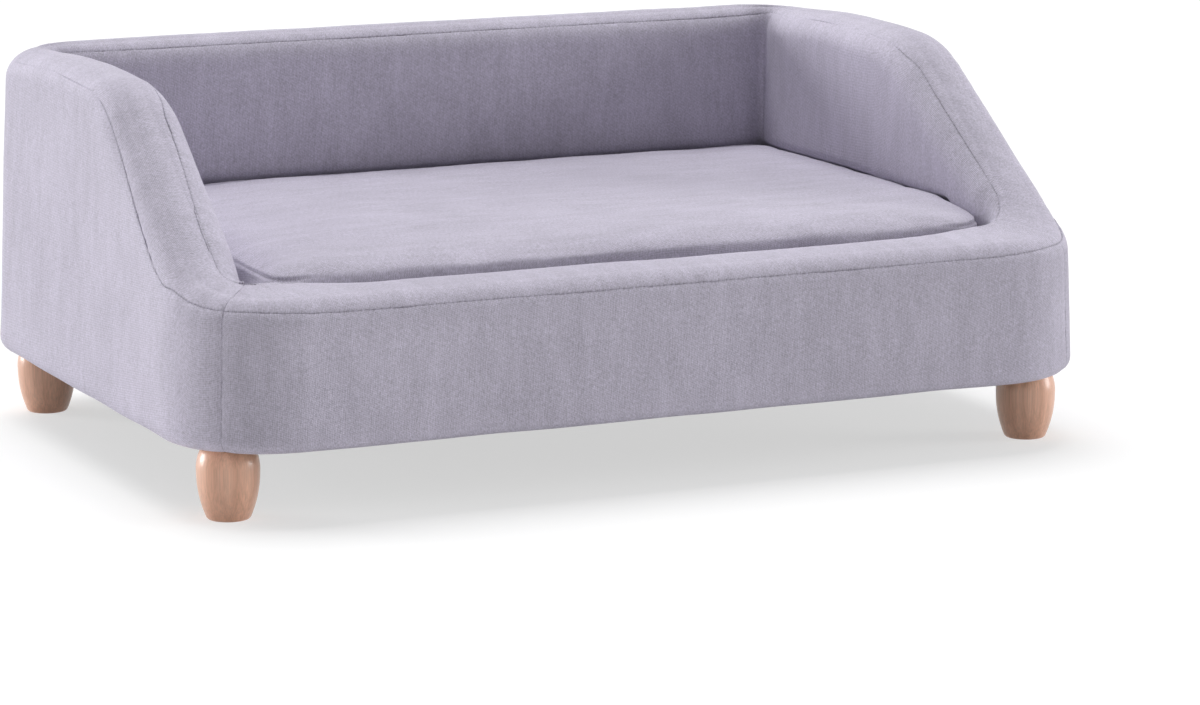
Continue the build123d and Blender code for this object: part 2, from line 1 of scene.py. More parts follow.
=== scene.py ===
"""Looks of a dog sofa bed, dressed over its packed construction model.

Lengths are in metres and places are in the model's own frame: +X to the right, +Y to the back,
+Z up, with the origin on the floor under the middle of the sofa.
"""

import logging
import math
from dataclasses import dataclass, field
from enum import Enum

import bpy
import numpy as np
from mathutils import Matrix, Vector
from mathutils.geometry import delaunay_2d_cdt


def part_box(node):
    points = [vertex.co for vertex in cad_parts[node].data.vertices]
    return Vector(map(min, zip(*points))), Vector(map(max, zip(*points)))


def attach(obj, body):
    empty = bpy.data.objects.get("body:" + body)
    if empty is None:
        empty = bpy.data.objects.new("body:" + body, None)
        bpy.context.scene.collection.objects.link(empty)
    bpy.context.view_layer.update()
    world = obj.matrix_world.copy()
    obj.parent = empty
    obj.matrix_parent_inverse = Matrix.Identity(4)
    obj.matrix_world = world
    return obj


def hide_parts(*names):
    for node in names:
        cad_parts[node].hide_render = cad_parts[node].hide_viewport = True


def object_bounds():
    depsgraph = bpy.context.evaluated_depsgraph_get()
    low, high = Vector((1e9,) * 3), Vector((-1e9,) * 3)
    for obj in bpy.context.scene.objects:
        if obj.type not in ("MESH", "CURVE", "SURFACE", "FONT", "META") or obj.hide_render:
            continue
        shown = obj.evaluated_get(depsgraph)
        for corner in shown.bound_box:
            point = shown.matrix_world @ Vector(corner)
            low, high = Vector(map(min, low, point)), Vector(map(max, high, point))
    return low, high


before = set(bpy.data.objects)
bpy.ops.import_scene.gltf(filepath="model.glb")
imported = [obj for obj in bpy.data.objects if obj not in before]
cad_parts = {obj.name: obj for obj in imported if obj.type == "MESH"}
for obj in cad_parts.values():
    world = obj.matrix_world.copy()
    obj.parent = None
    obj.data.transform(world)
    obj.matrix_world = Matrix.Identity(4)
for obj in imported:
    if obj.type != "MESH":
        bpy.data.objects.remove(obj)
cad_low, cad_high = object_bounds()

logging.basicConfig(level=logging.INFO, format="%(message)s")
log = logging.getLogger("sofa")

WEAVE_MAP = "weave"
SEAM_MAP = "seam"
CORNERS = ("front_left", "front_right", "back_left", "back_right")
# Which way the four corners lie from the middle, from the right rear one counter-clockwise.
SIGNS = np.array([[1.0, 1.0], [-1.0, 1.0], [-1.0, -1.0], [1.0, -1.0]])
# Pieces of a rounded rectangle's outline: four sides and four arcs.
ROUND = 8.0
OUTLINE_STEPS = 6000
Colour = tuple[float, float, float]
Fade = tuple[float, float]
Socket = bpy.types.NodeSocket


def smooth_step(value: np.ndarray, low: float, high: float) -> np.ndarray:
    """Rise from 0 at low to 1 at high as 3t^2 - 2t^3, with t the share of the way.

    Args:
        value: Numbers to map.
        low: Where the rise starts.
        high: Where the rise ends.

    Returns:
        An array of the same shape, from 0 to 1.
    """
    share = np.clip((np.asarray(value, float) - low) / (high - low), 0.0, 1.0)
    return share * share * (3.0 - 2.0 * share)


def ripple(points: np.ndarray, wavelength: float, seed: int, waves: int = 14) -> np.ndarray:
    """Gentle unevenness: the mean of plane sine waves in random directions.

    Each wave is sin(k . p + phase), where k has a length of 2 pi over about the wavelength.

    Args:
        points: Points, with x, y and z last.
        wavelength: About the distance from crest to crest.
        seed: Seed of the directions and phases.
        waves: How many waves are added.

    Returns:
        Values of about -1 to 1, without the last axis of points.
    """
    draw = np.random.default_rng(seed)
    ways = draw.normal(size=(waves, 3))
    ways /= np.linalg.norm(ways, axis=1, keepdims=True)
    ways *= 2.0 * math.pi / (wavelength * draw.uniform(0.7, 1.5, (waves, 1)))
    phases = draw.uniform(0.0, 2.0 * math.pi, waves)
    return np.sin(points @ ways.T + phases).sum(-1) / math.sqrt(waves * 2.0)


def unit(vectors: np.ndarray) -> np.ndarray:
    """Vectors scaled to a length of one."""
    return vectors / np.maximum(np.linalg.norm(vectors, axis=-1, keepdims=True), 1e-12)


def travelled(points: np.ndarray, axis: int) -> np.ndarray:
    """Distance covered along one axis of a grid of points, from its first row or column.

    Args:
        points: The points.
        axis: 0 to measure from row to row, 1 from column to column.

    Returns:
        A distance for each point.
    """
    steps = np.linalg.norm(np.diff(points, axis=axis), axis=-1)
    start = np.zeros_like(np.take(steps, [0], axis=axis))
    return np.concatenate([start, np.cumsum(steps, axis=axis)], axis=axis)


def at_height(flat: np.ndarray, height: np.ndarray | float) -> np.ndarray:
    """Plan points with a height given to each."""
    return np.concatenate([flat, np.broadcast_to(height, flat.shape[:-1])[..., None]], axis=-1)


def plan_middle(low: Vector, high: Vector) -> np.ndarray:
    """Middle of a box, as x and y."""
    return np.array([low.x + high.x, low.y + high.y]) / 2.0


def round_places(turns: np.ndarray) -> tuple[np.ndarray, np.ndarray, np.ndarray, np.ndarray]:
    """Read places round a rounded rectangle, counted in pieces of its outline.

    Even pieces are straight and odd ones are quarter arcs, and a side and the arc after it share
    one number.

    Args:
        turns: Places, with 8 to a full round and 0 at the right side's front end.

    Returns:
        Numbers of the sides, shares of the way along them with 1 on arcs, which places are on
        arcs, and outward directions.
    """
    piece = np.floor(turns).astype(int)
    share = turns - piece
    side = (piece // 2) % 4
    on_arc = piece % 2 == 1
    angle = (side + on_arc * share) * math.pi / 2.0
    facing = np.stack([np.cos(angle), np.sin(angle)], axis=-1)
    return side, np.where(on_arc, 1.0, share)[:, None], on_arc, facing


def rounded(turns: np.ndarray, centres: np.ndarray, radii: np.ndarray) -> np.ndarray:
    """Points of a rounded rectangle.

    A point is an arc's centre, or a share of the way between two, plus the radius there, shared
    out in the same way, times the outward direction.

    Args:
        turns: Places, as in round_places().
        centres: Centres of the four arcs, from the right rear one counter-clockwise.
        radii: Their radii, as a column.

    Returns:
        The points.
    """
    side, along, _, facing = round_places(turns)
    centre = centres[side - 1] * (1.0 - along) + centres[side] * along
    radius = radii[side - 1] * (1.0 - along) + radii[side] * along
    return centre + radius * facing


def spaced(points: np.ndarray, facing: np.ndarray, spacing: float) -> tuple[np.ndarray, np.ndarray]:
    """Choose about evenly spaced points of a closed outline.

    Args:
        points: Close points of the outline.
        facing: Their outward directions.
        spacing: About the distance between the chosen ones.

    Returns:
        The chosen points and their outward directions.
    """
    length = travelled(np.concatenate([points, points[:1]]), 0)
    wanted = np.linspace(0.0, length[-1], int(length[-1] / spacing) + 1)[:-1]
    chosen = np.searchsorted(length[:-1], wanted, side="right") - 1
    return points[chosen], facing[chosen]


def grid_normals(points: np.ndarray) -> np.ndarray:
    """Unit normals of a grid: the step along the columns crossed with the step along the rows."""
    return unit(np.cross(np.gradient(points, axis=1), np.gradient(points, axis=0)))


def grid_faces(
    rows: int, columns: int, closed_rows: bool = False, closed_columns: bool = False
) -> np.ndarray:
    """Corners of the quads of a grid whose points are numbered row by row.

    Args:
        rows: Rows of points.
        columns: Points in a row.
        closed_rows: Whether the last row joins the first.
        closed_columns: Whether the last column joins the first.

    Returns:
        An array of four point numbers for each quad.
    """
    row = np.arange(rows if closed_rows else rows - 1)
    column = np.arange(columns if closed_columns else columns - 1)
    row, column = np.meshgrid(row, column, indexing="ij")
    next_row, next_column = (row + 1) % rows, (column + 1) % columns
    corners = [
        row * columns + column,
        row * columns + next_column,
        next_row * columns + next_column,
        next_row * columns + column,
    ]
    return np.stack(corners, axis=-1).reshape(-1, 4)


def make_piece(
    name: str,
    points: np.ndarray,
    faces: list | np.ndarray,
    material: bpy.types.Material,
    maps: dict[str, np.ndarray] | None = None,
    smooth: bool = True,
) -> bpy.types.Object:
    """Put a mesh into the scene.

    Args:
        name: Name of the piece.
        points: Its points, with x, y and z last.
        faces: Point numbers of each face.
        material: Its finish.
        maps: Texture maps by name, with two numbers for each point or each face corner.
        smooth: Whether its faces are shaded as one surface.

    Returns:
        The new object.
    """
    mesh = bpy.data.meshes.new(name)
    mesh.from_pydata(np.reshape(points, (-1, 3)).tolist(), [], list(faces))
    corner_points = np.zeros(len(mesh.loops), np.int32)
    mesh.loops.foreach_get("vertex_index", corner_points)
    for map_name, values in (maps or {}).items():
        values = np.reshape(values, (-1, 2))
        if len(values) != len(mesh.loops):
            values = values[corner_points]
        layer = mesh.uv_layers.new(name=map_name)
        layer.data.foreach_set("uv", values.astype(np.float32).ravel())
    if smooth:
        mesh.shade_smooth()
    mesh.materials.append(material)
    piece = bpy.data.objects.new(name, mesh)
    bpy.context.scene.collection.objects.link(piece)
    return piece


def thicken(piece: bpy.types.Object, thickness: float) -> None:
    """Give a sheet its thickness, behind its front face.

    Args:
        piece: The sheet.
        thickness: Its thickness.
    """
    cloth = piece.modifiers.new("cloth", "SOLIDIFY")
    cloth.thickness = thickness
    cloth.offset = -1.0


@dataclass
class Ring:
    """Stations round the wall, counter-clockwise seen from above.

    Each station joins a point of the outer outline to one of the well's outline, and has the
    outward direction that both outlines face there.
    """

    outer: np.ndarray
    inner: np.ndarray
    facing: np.ndarray
    places: np.ndarray
    outer_length: np.ndarray
    inner_length: np.ndarray


@dataclass
class WallPlan:
    """Plan of the wall: a rounded rectangle outside and a tighter one round the seat well."""

    half_width: float = float(cad_high.x)
    half_depth: float = float(cad_high.y)
    corner_radius: float = 0.112
    arm_wall: float = 0.068
    back_wall: float = 0.068
    front_wall: float = 0.088
    well_radius: float = 0.018
    right_front_radius: float = 0.040
    station_spacing: float = 0.0036
    mitre_slide: float = 0.0140
    mitre_fade: float = 0.060
    mitre_places: tuple[float, float, float] = (13.5, 15.5, 7.5)
    table_end: float = 20.0
    table_size: int = 20001
    ring_size: int = 4000

    @property
    def well_x(self) -> float:
        """Half the width of the well."""
        return self.half_width - self.arm_wall

    @property
    def well_back(self) -> float:
        """Where the well's back wall stands."""
        return self.half_depth - self.back_wall

    @property
    def well_front(self) -> float:
        """Where the well's front wall stands."""
        return self.front_wall - self.half_depth

    def place(self, turns: np.ndarray) -> tuple[np.ndarray, np.ndarray, np.ndarray]:
        """Outline points at places round the ring.

        Args:
            turns: Places, as in round_places(), with 0 at the right arm's front end.

        Returns:
            Outer points, well points and outward directions, each with x and y last.
        """
        radii = np.array([self.well_radius] * 3 + [self.right_front_radius])[:, None]
        corners = np.array([[self.well_x, self.well_back]] * 2 + [[self.well_x, -self.well_front]] * 2)
        reach = np.array([self.half_width, self.half_depth]) - self.corner_radius
        outer = rounded(turns, SIGNS * reach, np.full((4, 1), self.corner_radius))
        inner = rounded(turns, SIGNS * (corners - radii), radii)
        return outer, inner, round_places(turns)[-1]

    def ring(self, start: float, end: float) -> Ring:
        """Stations from one place round the ring to another, about evenly spaced outside.

        Args:
            start: First place, counted as in place(), and at least -8.
            end: Last place, above start.

        Returns:
            The stations, with their lengths along both outlines.
        """
        whole = np.linspace(start, end, self.ring_size) + ROUND
        outer, _, _ = self.place(whole)
        length = travelled(outer, 0)
        wanted = np.linspace(0.0, length[-1], int(length[-1] / self.station_spacing) + 1)
        places = np.interp(wanted, length, whole)
        outer, inner, facing = self.place(places)
        return Ring(outer, inner, facing, places, travelled(outer, 0), travelled(inner, 0))

    def skewed(self, ring: Ring, share: float) -> Ring:
        """The same stations slid towards the front's middle near the two front corners.

        Along the well's outline a station slides by s c^3, with s the full slide and c the share of
        the way across the wall, fading away from the corner, so a mitre there runs straight and
        forward from the outside inwards.

        Args:
            ring: Stations of the wall.
            share: Share of the way across the wall.

        Returns:
            The slid stations, with the lengths of the old ones.
        """
        table = np.linspace(0.0, self.table_end, self.table_size)
        length = travelled(self.place(table)[1], 0)
        along = np.interp(ring.places, table, length)
        left, right, first_right = (
            1.0 - smooth_step(np.abs(along - np.interp(corner, table, length)), 0.0, self.mitre_fade)
            for corner in self.mitre_places
        )
        slide = self.mitre_slide * share**3 * (left - right - first_right)
        places = np.interp(along + slide, length, table)
        return Ring(*self.place(places), places, ring.outer_length, ring.inner_length)


@dataclass
class Crest:
    """Height of the wall's top: flat behind, a sweep down the arms, flat on the front rail."""

    plan: WallPlan
    high: float = float(cad_high.z)
    low: float = 0.213
    sweep_run: float = 0.230
    sweep_middle: float = 0.196
    upper_bend: float = 0.125
    lower_bend: float = 0.130
    blend: float = 0.130
    arm_crown: float = 0.006

    def profile(self, y: np.ndarray) -> tuple[np.ndarray, np.ndarray]:
        """Height and steepness of an arm's top line at y.

        A straight slope meets two level lines through tangent arcs. On an arc of radius R that is
        level at y0 the height is R - sqrt(R^2 - (y - y0)^2) from its level line. The level part on
        top is crowned by c sin(pi t)^2, with t the share of the way along it.

        Args:
            y: Places along the arm.

        Returns:
            Heights and slopes, as rise over run.
        """
        rise = self.high - self.low
        angle = math.atan2(rise, self.sweep_run)
        tangent, sine = math.tan(angle), math.sin(angle)
        middle = self.sweep_middle - self.plan.half_depth
        top_level = middle + self.sweep_run / 2.0 + self.upper_bend * math.tan(angle / 2.0)
        top_slope = top_level - self.upper_bend * sine
        low_level = middle - self.sweep_run / 2.0 - self.lower_bend * math.tan(angle / 2.0)
        low_slope = low_level + self.lower_bend * sine
        from_top = np.clip(top_level - y, 0.0, self.upper_bend * sine)
        from_low = np.clip(y - low_level, 0.0, self.lower_bend * sine)
        top_root = np.sqrt(self.upper_bend**2 - from_top**2)
        low_root = np.sqrt(self.lower_bend**2 - from_low**2)
        zones = [y >= top_level, y >= top_slope, y >= low_slope, y >= low_level]
        heights = [
            np.full_like(y, self.high),
            self.high - self.upper_bend + top_root,
            (self.high + self.low) / 2.0 + (y - middle) * tangent,
            self.low + self.lower_bend - low_root,
        ]
        slopes = [np.zeros_like(y), from_top / top_root, np.full_like(y, tangent), from_low / low_root]
        along = np.clip((self.plan.well_back - y) / (self.plan.well_back - top_slope), 0.0, 1.0)
        crown = self.arm_crown * np.sin(math.pi * along) ** 2
        return np.select(zones, heights, self.low) + crown, np.select(zones, slopes, 0.0)

    def height(self, plan_points: np.ndarray) -> tuple[np.ndarray, np.ndarray]:
        """Height of the crest over plan points, and how far its roundings stretch upright.

        On the front rail the height is the rail's own plus a share of what the sweep adds there,
        and the share rises from 0 to 1 towards each arm. A rounding rolled square to a slope is
        taller in an upright section by 1 over the cosine of the slope.

        Args:
            plan_points: Points with x and y first on the last axis.

        Returns:
            Heights and stretches.
        """
        x, y = plan_points[..., 0], plan_points[..., 1]
        profile, slope = self.profile(y)
        arm_x = self.plan.well_x - self.plan.well_radius
        share = np.where(y > 0.0, 1.0, smooth_step(np.abs(x), arm_x - self.blend, arm_x))
        return self.low + (profile - self.low) * share, np.sqrt(1.0 + (slope * share) ** 2)


@dataclass
class Panel:
    """A grid of points for one sewn panel, and which of its edges are sewn.

    Rows run across the wall and columns along it. Tight says for each column how much its sewn
    rows show, from 0 to 1, and a row that doesn't show counts as slack farther from its seam. A
    sewn column counts as column_gap farther away than it is.
    """

    points: np.ndarray
    along: np.ndarray
    sewn_rows: tuple[bool, bool] = (True, True)
    sewn_columns: tuple[bool, bool] = (True, True)
    tight: np.ndarray | float = 1.0
    column_gap: float = 0.0013
    slack: float = 0.004
    weave: np.ndarray = field(init=False)
    seam: np.ndarray = field(init=False)

    def __post_init__(self) -> None:
        """Measure the cloth: its own weave map, and the distance to the nearest sewn edge."""
        across = travelled(self.points, 0)
        along = np.broadcast_to(self.along, across.shape)
        self.weave = np.stack([along, across], axis=-1)
        edges = [
            (self.sewn_rows[0], across, along),
            (self.sewn_rows[1], across[-1:] - across, along),
            (self.sewn_columns[0], along - along[:, :1] + self.column_gap, across),
            (self.sewn_columns[1], along[:, -1:] - along + self.column_gap, across),
        ]
        nearest, place = np.ones(across.shape), np.zeros(across.shape)
        for sewn, distance, where in edges:
            if sewn:
                place = np.where(distance < nearest, where, place)
                nearest = np.minimum(distance, nearest)
        self.seam = np.stack([place, nearest + self.slack * (1.0 - self.tight)], axis=-1)


@dataclass
class Sewing:
    """How cloth behaves beside a seam, and how panels are made into pieces."""

    roll: float = 0.0007
    cross_roll: float = 0.00025
    roll_angles: tuple[float, ...] = (30.0, 60.0, 86.0)
    tuck: float = 0.0020
    pull: float = 0.0011
    pull_reach: float = 0.007
    pucker: float = 0.0004
    pucker_length: float = 0.013
    unevenness: float = 0.0005
    unevenness_length: float = 0.11
    cloth: float = 0.0012

    def shaped(self, panel: Panel, seed: int) -> np.ndarray:
        """Points of a panel once its seams pull on it.

        Each point moves along its normal by a slight unevenness, less a pull that fades with
        exp(-distance / reach) from the seam, with puckers that fade the same way.

        Args:
            panel: The panel.
            seed: Seed of its unevenness.

        Returns:
            The moved points.
        """
        normals = grid_normals(panel.points)
        near = np.exp(-panel.seam[..., 1] / self.pull_reach)
        puckers = ripple(panel.points, self.pucker_length, seed)
        uneven = ripple(panel.points, self.unevenness_length, seed + 1)
        move = self.unevenness * uneven - near * panel.tight * (self.pull + self.pucker * puckers)
        return panel.points + normals * move[..., None]

    def rolled(
        self,
        values: np.ndarray,
        normals: np.ndarray,
        axis: int,
        at_end: bool,
        roll: float | np.ndarray,
    ) -> tuple[np.ndarray, np.ndarray]:
        """Turn one edge of a grid under, as a quarter circle and a short straight tuck.

        With t the way out over the edge and n the normal, the added rows are at
        edge - r t + r t sin(a) - r n (1 - cos(a)).

        Args:
            values: Grid of points.
            normals: Its normals.
            axis: 0 to turn a row under, 1 a column.
            at_end: Whether the edge is the last one.
            roll: Radius of the quarter circle, one number or one for each point of the edge.

        Returns:
            The larger grid and its normals, which the added rows copy.
        """
        points = np.moveaxis(values, axis, 0)
        facing = np.moveaxis(normals, axis, 0)
        if not at_end:
            points, facing = points[::-1], facing[::-1]
        way = unit(points[-1] - points[-2])
        base = points[-1] - way * roll
        normal = facing[-1]
        rows = [
            base + roll * (math.sin(angle) * way - (1.0 - math.cos(angle)) * normal)
            for angle in np.radians(self.roll_angles)
        ]
        rows.append(rows[-1] - normal * self.tuck)
        grown = np.concatenate([points[:-1], base[None], np.stack(rows)])
        grown_facing = np.concatenate([facing, np.repeat(normal[None], len(rows), axis=0)])
        if not at_end:
            grown, grown_facing = grown[::-1], grown_facing[::-1]
        return np.moveaxis(grown, 0, axis), np.moveaxis(grown_facing, 0, axis)

    def sewn(
        self, name: str, panel: Panel, material: bpy.types.Material, seed: int
    ) -> bpy.types.Object:
        """Make a panel into a piece of cloth with its sewn edges turned under.

        Args:
            name: Name of the piece.
            panel: Its grid.
            material: Its finish.
            seed: Seed of its unevenness.

        Returns:
            The new object.
        """
        points = self.shaped(panel, seed)
        normals = grid_normals(points)
        weave, seam = panel.weave, panel.seam
        for axis, sewn in ((0, panel.sewn_rows), (1, panel.sewn_columns)):
            for at_end in (False, True):
                if not sewn[at_end]:
                    continue
                before = points.shape[axis]
                roll = self.roll * np.reshape(panel.tight, (-1, 1)) if axis == 0 else self.cross_roll
                points, normals = self.rolled(points, normals, axis, at_end, roll)
                added = points.shape[axis] - before
                pad = [(0, 0)] * 3
                pad[axis] = (0, added) if at_end else (added, 0)
                weave, seam = np.pad(weave, pad, mode="edge"), np.pad(seam, pad, mode="edge")
        faces = grid_faces(*points.shape[:2])
        piece = make_piece(name, points, faces, material, {WEAVE_MAP: weave, SEAM_MAP: seam})
        thicken(piece, self.cloth)
        return piece


class Wall(Enum):
    """Stretches of the wall, from one place round the ring to another."""

    RIGHT = (-0.5, 1.5)
    BACK = (1.5, 3.5)
    LEFT = (3.5, 5.5)
    FRONT = (5.5, 7.5)
    WRAP = (-0.5, 5.5)

    @property
    def node(self) -> str:
        """The wall's word in the names of construction nodes."""
        return self.name.lower()


@dataclass
class SewnCover:
    """The tight cover: front and wrap, border strips on the crest, linings of the well.

    Tilts are in degrees, and a fade is where something starts and where it is complete.
    """

    plan: WallPlan
    crest: Crest
    sewing: Sewing
    foot: float = 0.0702
    lean: float = 0.014
    foot_round: float = 0.014
    hem: float = 0.034
    hem_reach: float = 0.85
    outer_round: float = 0.022
    rear_corner_round: float = 0.029
    rear_corner_fade: Fade = (0.5, 1.7)
    outer_seam: float = 0.009
    sloped_seam: float = 0.020
    front_seam: float = 0.0125
    front_fade: Fade = (0.0, 0.06)
    front_end_fade: Fade = (0.33, 0.44)
    steep_fade: Fade = (1.05, 1.22)
    slope_top_fade: Fade = (0.25, 0.36)
    slope_foot_fade: Fade = (0.208, 0.262)
    inner_turn: float = 0.010
    inner_depth: float = 0.028
    front_depth: float = 0.008
    back_tilt: float = 41.0
    arm_tilt: float = 36.0
    bend_tilt: float = 23.0
    left_tilt: float = 3.0
    right_tilt: float = 17.0
    front_tilt: float = 45.0
    left_front_tilt: float = 8.0
    bend_fade: Fade = (0.25, 0.35)
    arm_fade: Fade = (0.352, 0.378)
    front_tilt_fade: Fade = (0.03, 0.14)
    side_puff: float = 0.023
    back_puff: float = 0.015
    front_puff: float = 0.003
    corner_draw: float = 0.66
    front_draw: float = 0.50
    front_reach: float = 0.030
    right_reach: float = 0.080
    top_draw: float = 0.88
    full_draw: float = 0.02
    corner_reach: float = 0.045
    cushion_top: float = 0.236
    cushion_edge: float = 0.221
    gap_low: float = 0.168
    left_fade: Fade = (0.3, 0.9)
    free_fade: Fade = (0.030, 0.110)
    puff_fade: float = 0.013
    crown: float = 0.0022
    well_floor: float = 0.1640
    well_fillet: float = 0.006
    leg_notch: float = 0.0242
    loose: float = 0.85
    loose_cover: float = 0.004
    loose_lining: float = 0.012
    shoulder_end: float = 0.3
    top_end: float = 0.8
    border_rows: tuple[int, int, int] = (9, 12, 7)
    lining_rows: tuple[int, int, int] = (12, 24, 5)
    hem_rows: int = 4
    foot_rows: int = 6
    wall_rows: int = 29
    shoulder_rows: int = 8

    def leaned(self, ring: Ring, inset: np.ndarray | float, height: np.ndarray) -> np.ndarray:
        """Points inside the leaning outer face by inset, at a height."""
        lean = self.lean * (height - self.foot) / (self.crest.high - self.foot)
        return at_height(ring.outer - ring.facing * (lean + inset)[..., None], height)

    def shoulder_radius(self, ring: Ring) -> np.ndarray:
        """Radius of the outer rounding, larger round the two rear corners.

        Args:
            ring: Stations of the wall.

        Returns:
            A radius for each station.
        """
        aside = np.abs(ring.outer[:, 0]) - self.plan.half_width
        start, end = self.rear_corner_fade
        reach = np.hypot(aside, ring.outer[:, 1] - self.plan.half_depth) / self.plan.corner_radius
        near = 1.0 - smooth_step(reach, start, end)
        return self.outer_round + (self.rear_corner_round - self.outer_round) * near

    def seam_drop(self, ring: Ring) -> np.ndarray:
        """How far below the crest the outer seam runs.

        It lies deeper on the front's middle, and deepest on the arms' slopes.

        Args:
            ring: Stations of the wall.

        Returns:
            A drop for each station.
        """
        crest, stretch = self.crest.height(ring.outer)
        front = 1.0 - smooth_step(ring.outer[:, 1] + self.plan.half_depth, *self.front_fade)
        front *= 1.0 - smooth_step(np.abs(ring.outer[:, 0]), *self.front_end_fade)
        sloped = smooth_step(stretch, *self.steep_fade)
        sloped *= 1.0 - smooth_step(crest, *self.slope_top_fade)
        sloped *= smooth_step(crest, *self.slope_foot_fade)
        deeper = (self.front_seam - self.outer_seam) * front
        return self.outer_seam + deeper + (self.sloped_seam - self.outer_seam) * sloped

    def shoulder(self, ring: Ring, angles: np.ndarray, radius: np.ndarray) -> np.ndarray:
        """Points on the outer rounding.

        At angle a the point is r (1 - cos a) in from the wall and r (1 - sin a) down from the crest.

        Args:
            ring: Stations of the wall.
            angles: An angle for each, from 0 on the wall to a right angle on top.
            radius: A radius for each.

        Returns:
            A point for each station.
        """
        inset = radius * (1.0 - np.cos(angles))
        flat = ring.outer - ring.facing * (self.lean + inset)[..., None]
        height, stretch = self.crest.height(flat)
        return self.leaned(ring, inset, height - stretch * radius * (1.0 - np.sin(angles)))

    def inside(self, ring: Ring, reach: np.ndarray, drop: np.ndarray) -> np.ndarray:
        """Points on the well's side of the wall.

        Args:
            ring: Stations of the wall.
            reach: How far each stands out into the well.
            drop: How far each lies below the crest, square to its slope.

        Returns:
            A point for each station.
        """
        flat = ring.inner - ring.facing * reach[..., None]
        height, stretch = self.crest.height(flat)
        return at_height(flat, height - stretch * drop)

    def mixed(
        self, ring: Ring, side: float | np.ndarray, back: float, front: float | np.ndarray
    ) -> np.ndarray:
        """One number for each station: that of its side of the well, blended round the corners."""
        lengthwise = np.where(ring.facing[:, 1] > 0.0, back, front)
        return side * ring.facing[:, 0] ** 2 + lengthwise * ring.facing[:, 1] ** 2

    def to_corner(self, ring: Ring, x: np.ndarray, y: float) -> np.ndarray:
        """Distance of each station from the well's corner at y, with x from the well's middle."""
        return np.hypot(x - self.plan.well_x, ring.inner[:, 1] - y)

    def free(self, ring: Ring) -> np.ndarray:
        """Where the cushion leaves room: on its left and at its front right corner.

        Args:
            ring: Stations of the wall.

        Returns:
            0 to 1 for each station.
        """
        corner = self.to_corner(ring, ring.inner[:, 0], self.plan.well_front)
        left = smooth_step(-ring.facing[:, 0], *self.left_fade)
        return np.maximum(left, 1.0 - smooth_step(corner, *self.free_fade))

    def puff(self, ring: Ring, height: np.ndarray) -> np.ndarray:
        """How far the stuffed lining stands out into the well at a height.

        Each side has its own fullness, which fades to nothing where the cushion lies, and lasts
        lower down where the cushion leaves room. The corners' seams draw it in by a share that
        falls as exp(-distance / reach), and the rear ones do so more the higher it is.

        Args:
            ring: Stations of the wall.
            height: A height for each.

        Returns:
            A distance for each station.
        """
        full = self.mixed(ring, self.side_puff, self.back_puff, self.front_puff)
        low = self.cushion_edge + (self.gap_low - self.cushion_edge) * self.free(ring)
        x = np.abs(ring.inner[:, 0])
        behind = self.to_corner(ring, x, self.plan.well_back)
        ahead = self.to_corner(ring, x, self.plan.well_front)
        rise = smooth_step(height, self.cushion_top, self.crest.high - self.full_draw)
        draw = self.corner_draw + (self.top_draw - self.corner_draw) * rise
        reach = np.where(ring.inner[:, 0] < 0.0, self.front_reach, self.right_reach)
        drawn = draw * np.exp(-behind / self.corner_reach) + self.front_draw * np.exp(-ahead / reach)
        return full * smooth_step((height - low) / self.puff_fade, 0.0, 1.0) * (1.0 - drawn)

    def inner_depths(self, ring: Ring) -> np.ndarray:
        """Height of the inner rounding, which ends above the cushion's edge.

        Args:
            ring: Stations of the wall.

        Returns:
            A height for each station.
        """
        room = self.crest.height(ring.inner)[0] - self.cushion_edge - self.puff_fade
        side = np.maximum(room, self.inner_depth * self.free(ring))
        side = np.clip(side, self.front_depth, self.inner_depth)
        return self.mixed(ring, side, self.inner_depth, self.front_depth)

    def inner_rounding(self, ring: Ring, angles: float | np.ndarray) -> np.ndarray:
        """Points on the inner rounding.

        At angle a the point stands out by (t + p) sin a - t and lies d (1 - cos a) below the crest,
        where the rounding starts t inside the wall, the lining puffs out by p and d is its height.

        Args:
            ring: Stations of the wall.
            angles: Angles, from 0 on top to a right angle on the well's wall.

        Returns:
            A point for each station.
        """
        depth = self.inner_depths(ring)
        out = self.puff(ring, self.crest.height(ring.inner)[0] - depth)
        reach = (self.inner_turn + out) * np.sin(angles) - self.inner_turn
        return self.inside(ring, reach, depth * (1.0 - np.cos(angles)))

    def seam_tilt(self, ring: Ring) -> np.ndarray:
        """Angle on the inner rounding at which its seam lies.

        It is smaller on the arms' lower slopes and at the front's left end.

        Args:
            ring: Stations of the wall.

        Returns:
            An angle for each station, in radians.
        """
        crest = self.crest.height(ring.inner)[0]
        low = np.where(ring.facing[:, 0] < 0.0, self.left_tilt, self.right_tilt)
        side = low + (self.bend_tilt - low) * smooth_step(crest, *self.bend_fade)
        side = side + (self.arm_tilt - self.bend_tilt) * smooth_step(crest, *self.arm_fade)
        front = smooth_step(ring.inner[:, 0] + self.plan.well_x, *self.front_tilt_fade)
        front = self.left_front_tilt + (self.front_tilt - self.left_front_tilt) * front
        return np.radians(self.mixed(ring, side, self.back_tilt, front))

    def hem_width(self, ring: Ring) -> np.ndarray:
        """Width of the hem under the base, cut back round each leg.

        Args:
            ring: Stations of the wall.

        Returns:
            A width for each station.
        """
        width = np.full(len(ring.outer), self.hem)
        for corner in CORNERS:
            offset = plan_middle(*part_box(f"leg_{corner}")) - ring.outer
            depth = -(offset * ring.facing).sum(-1)
            aside = np.hypot(*offset.T) ** 2 - depth**2
            cut = depth - np.sqrt(np.maximum(self.leg_notch**2 - aside, 0.0))
            width = np.where((aside < self.leg_notch**2) & (depth > 0.0), np.minimum(width, cut), width)
        return width

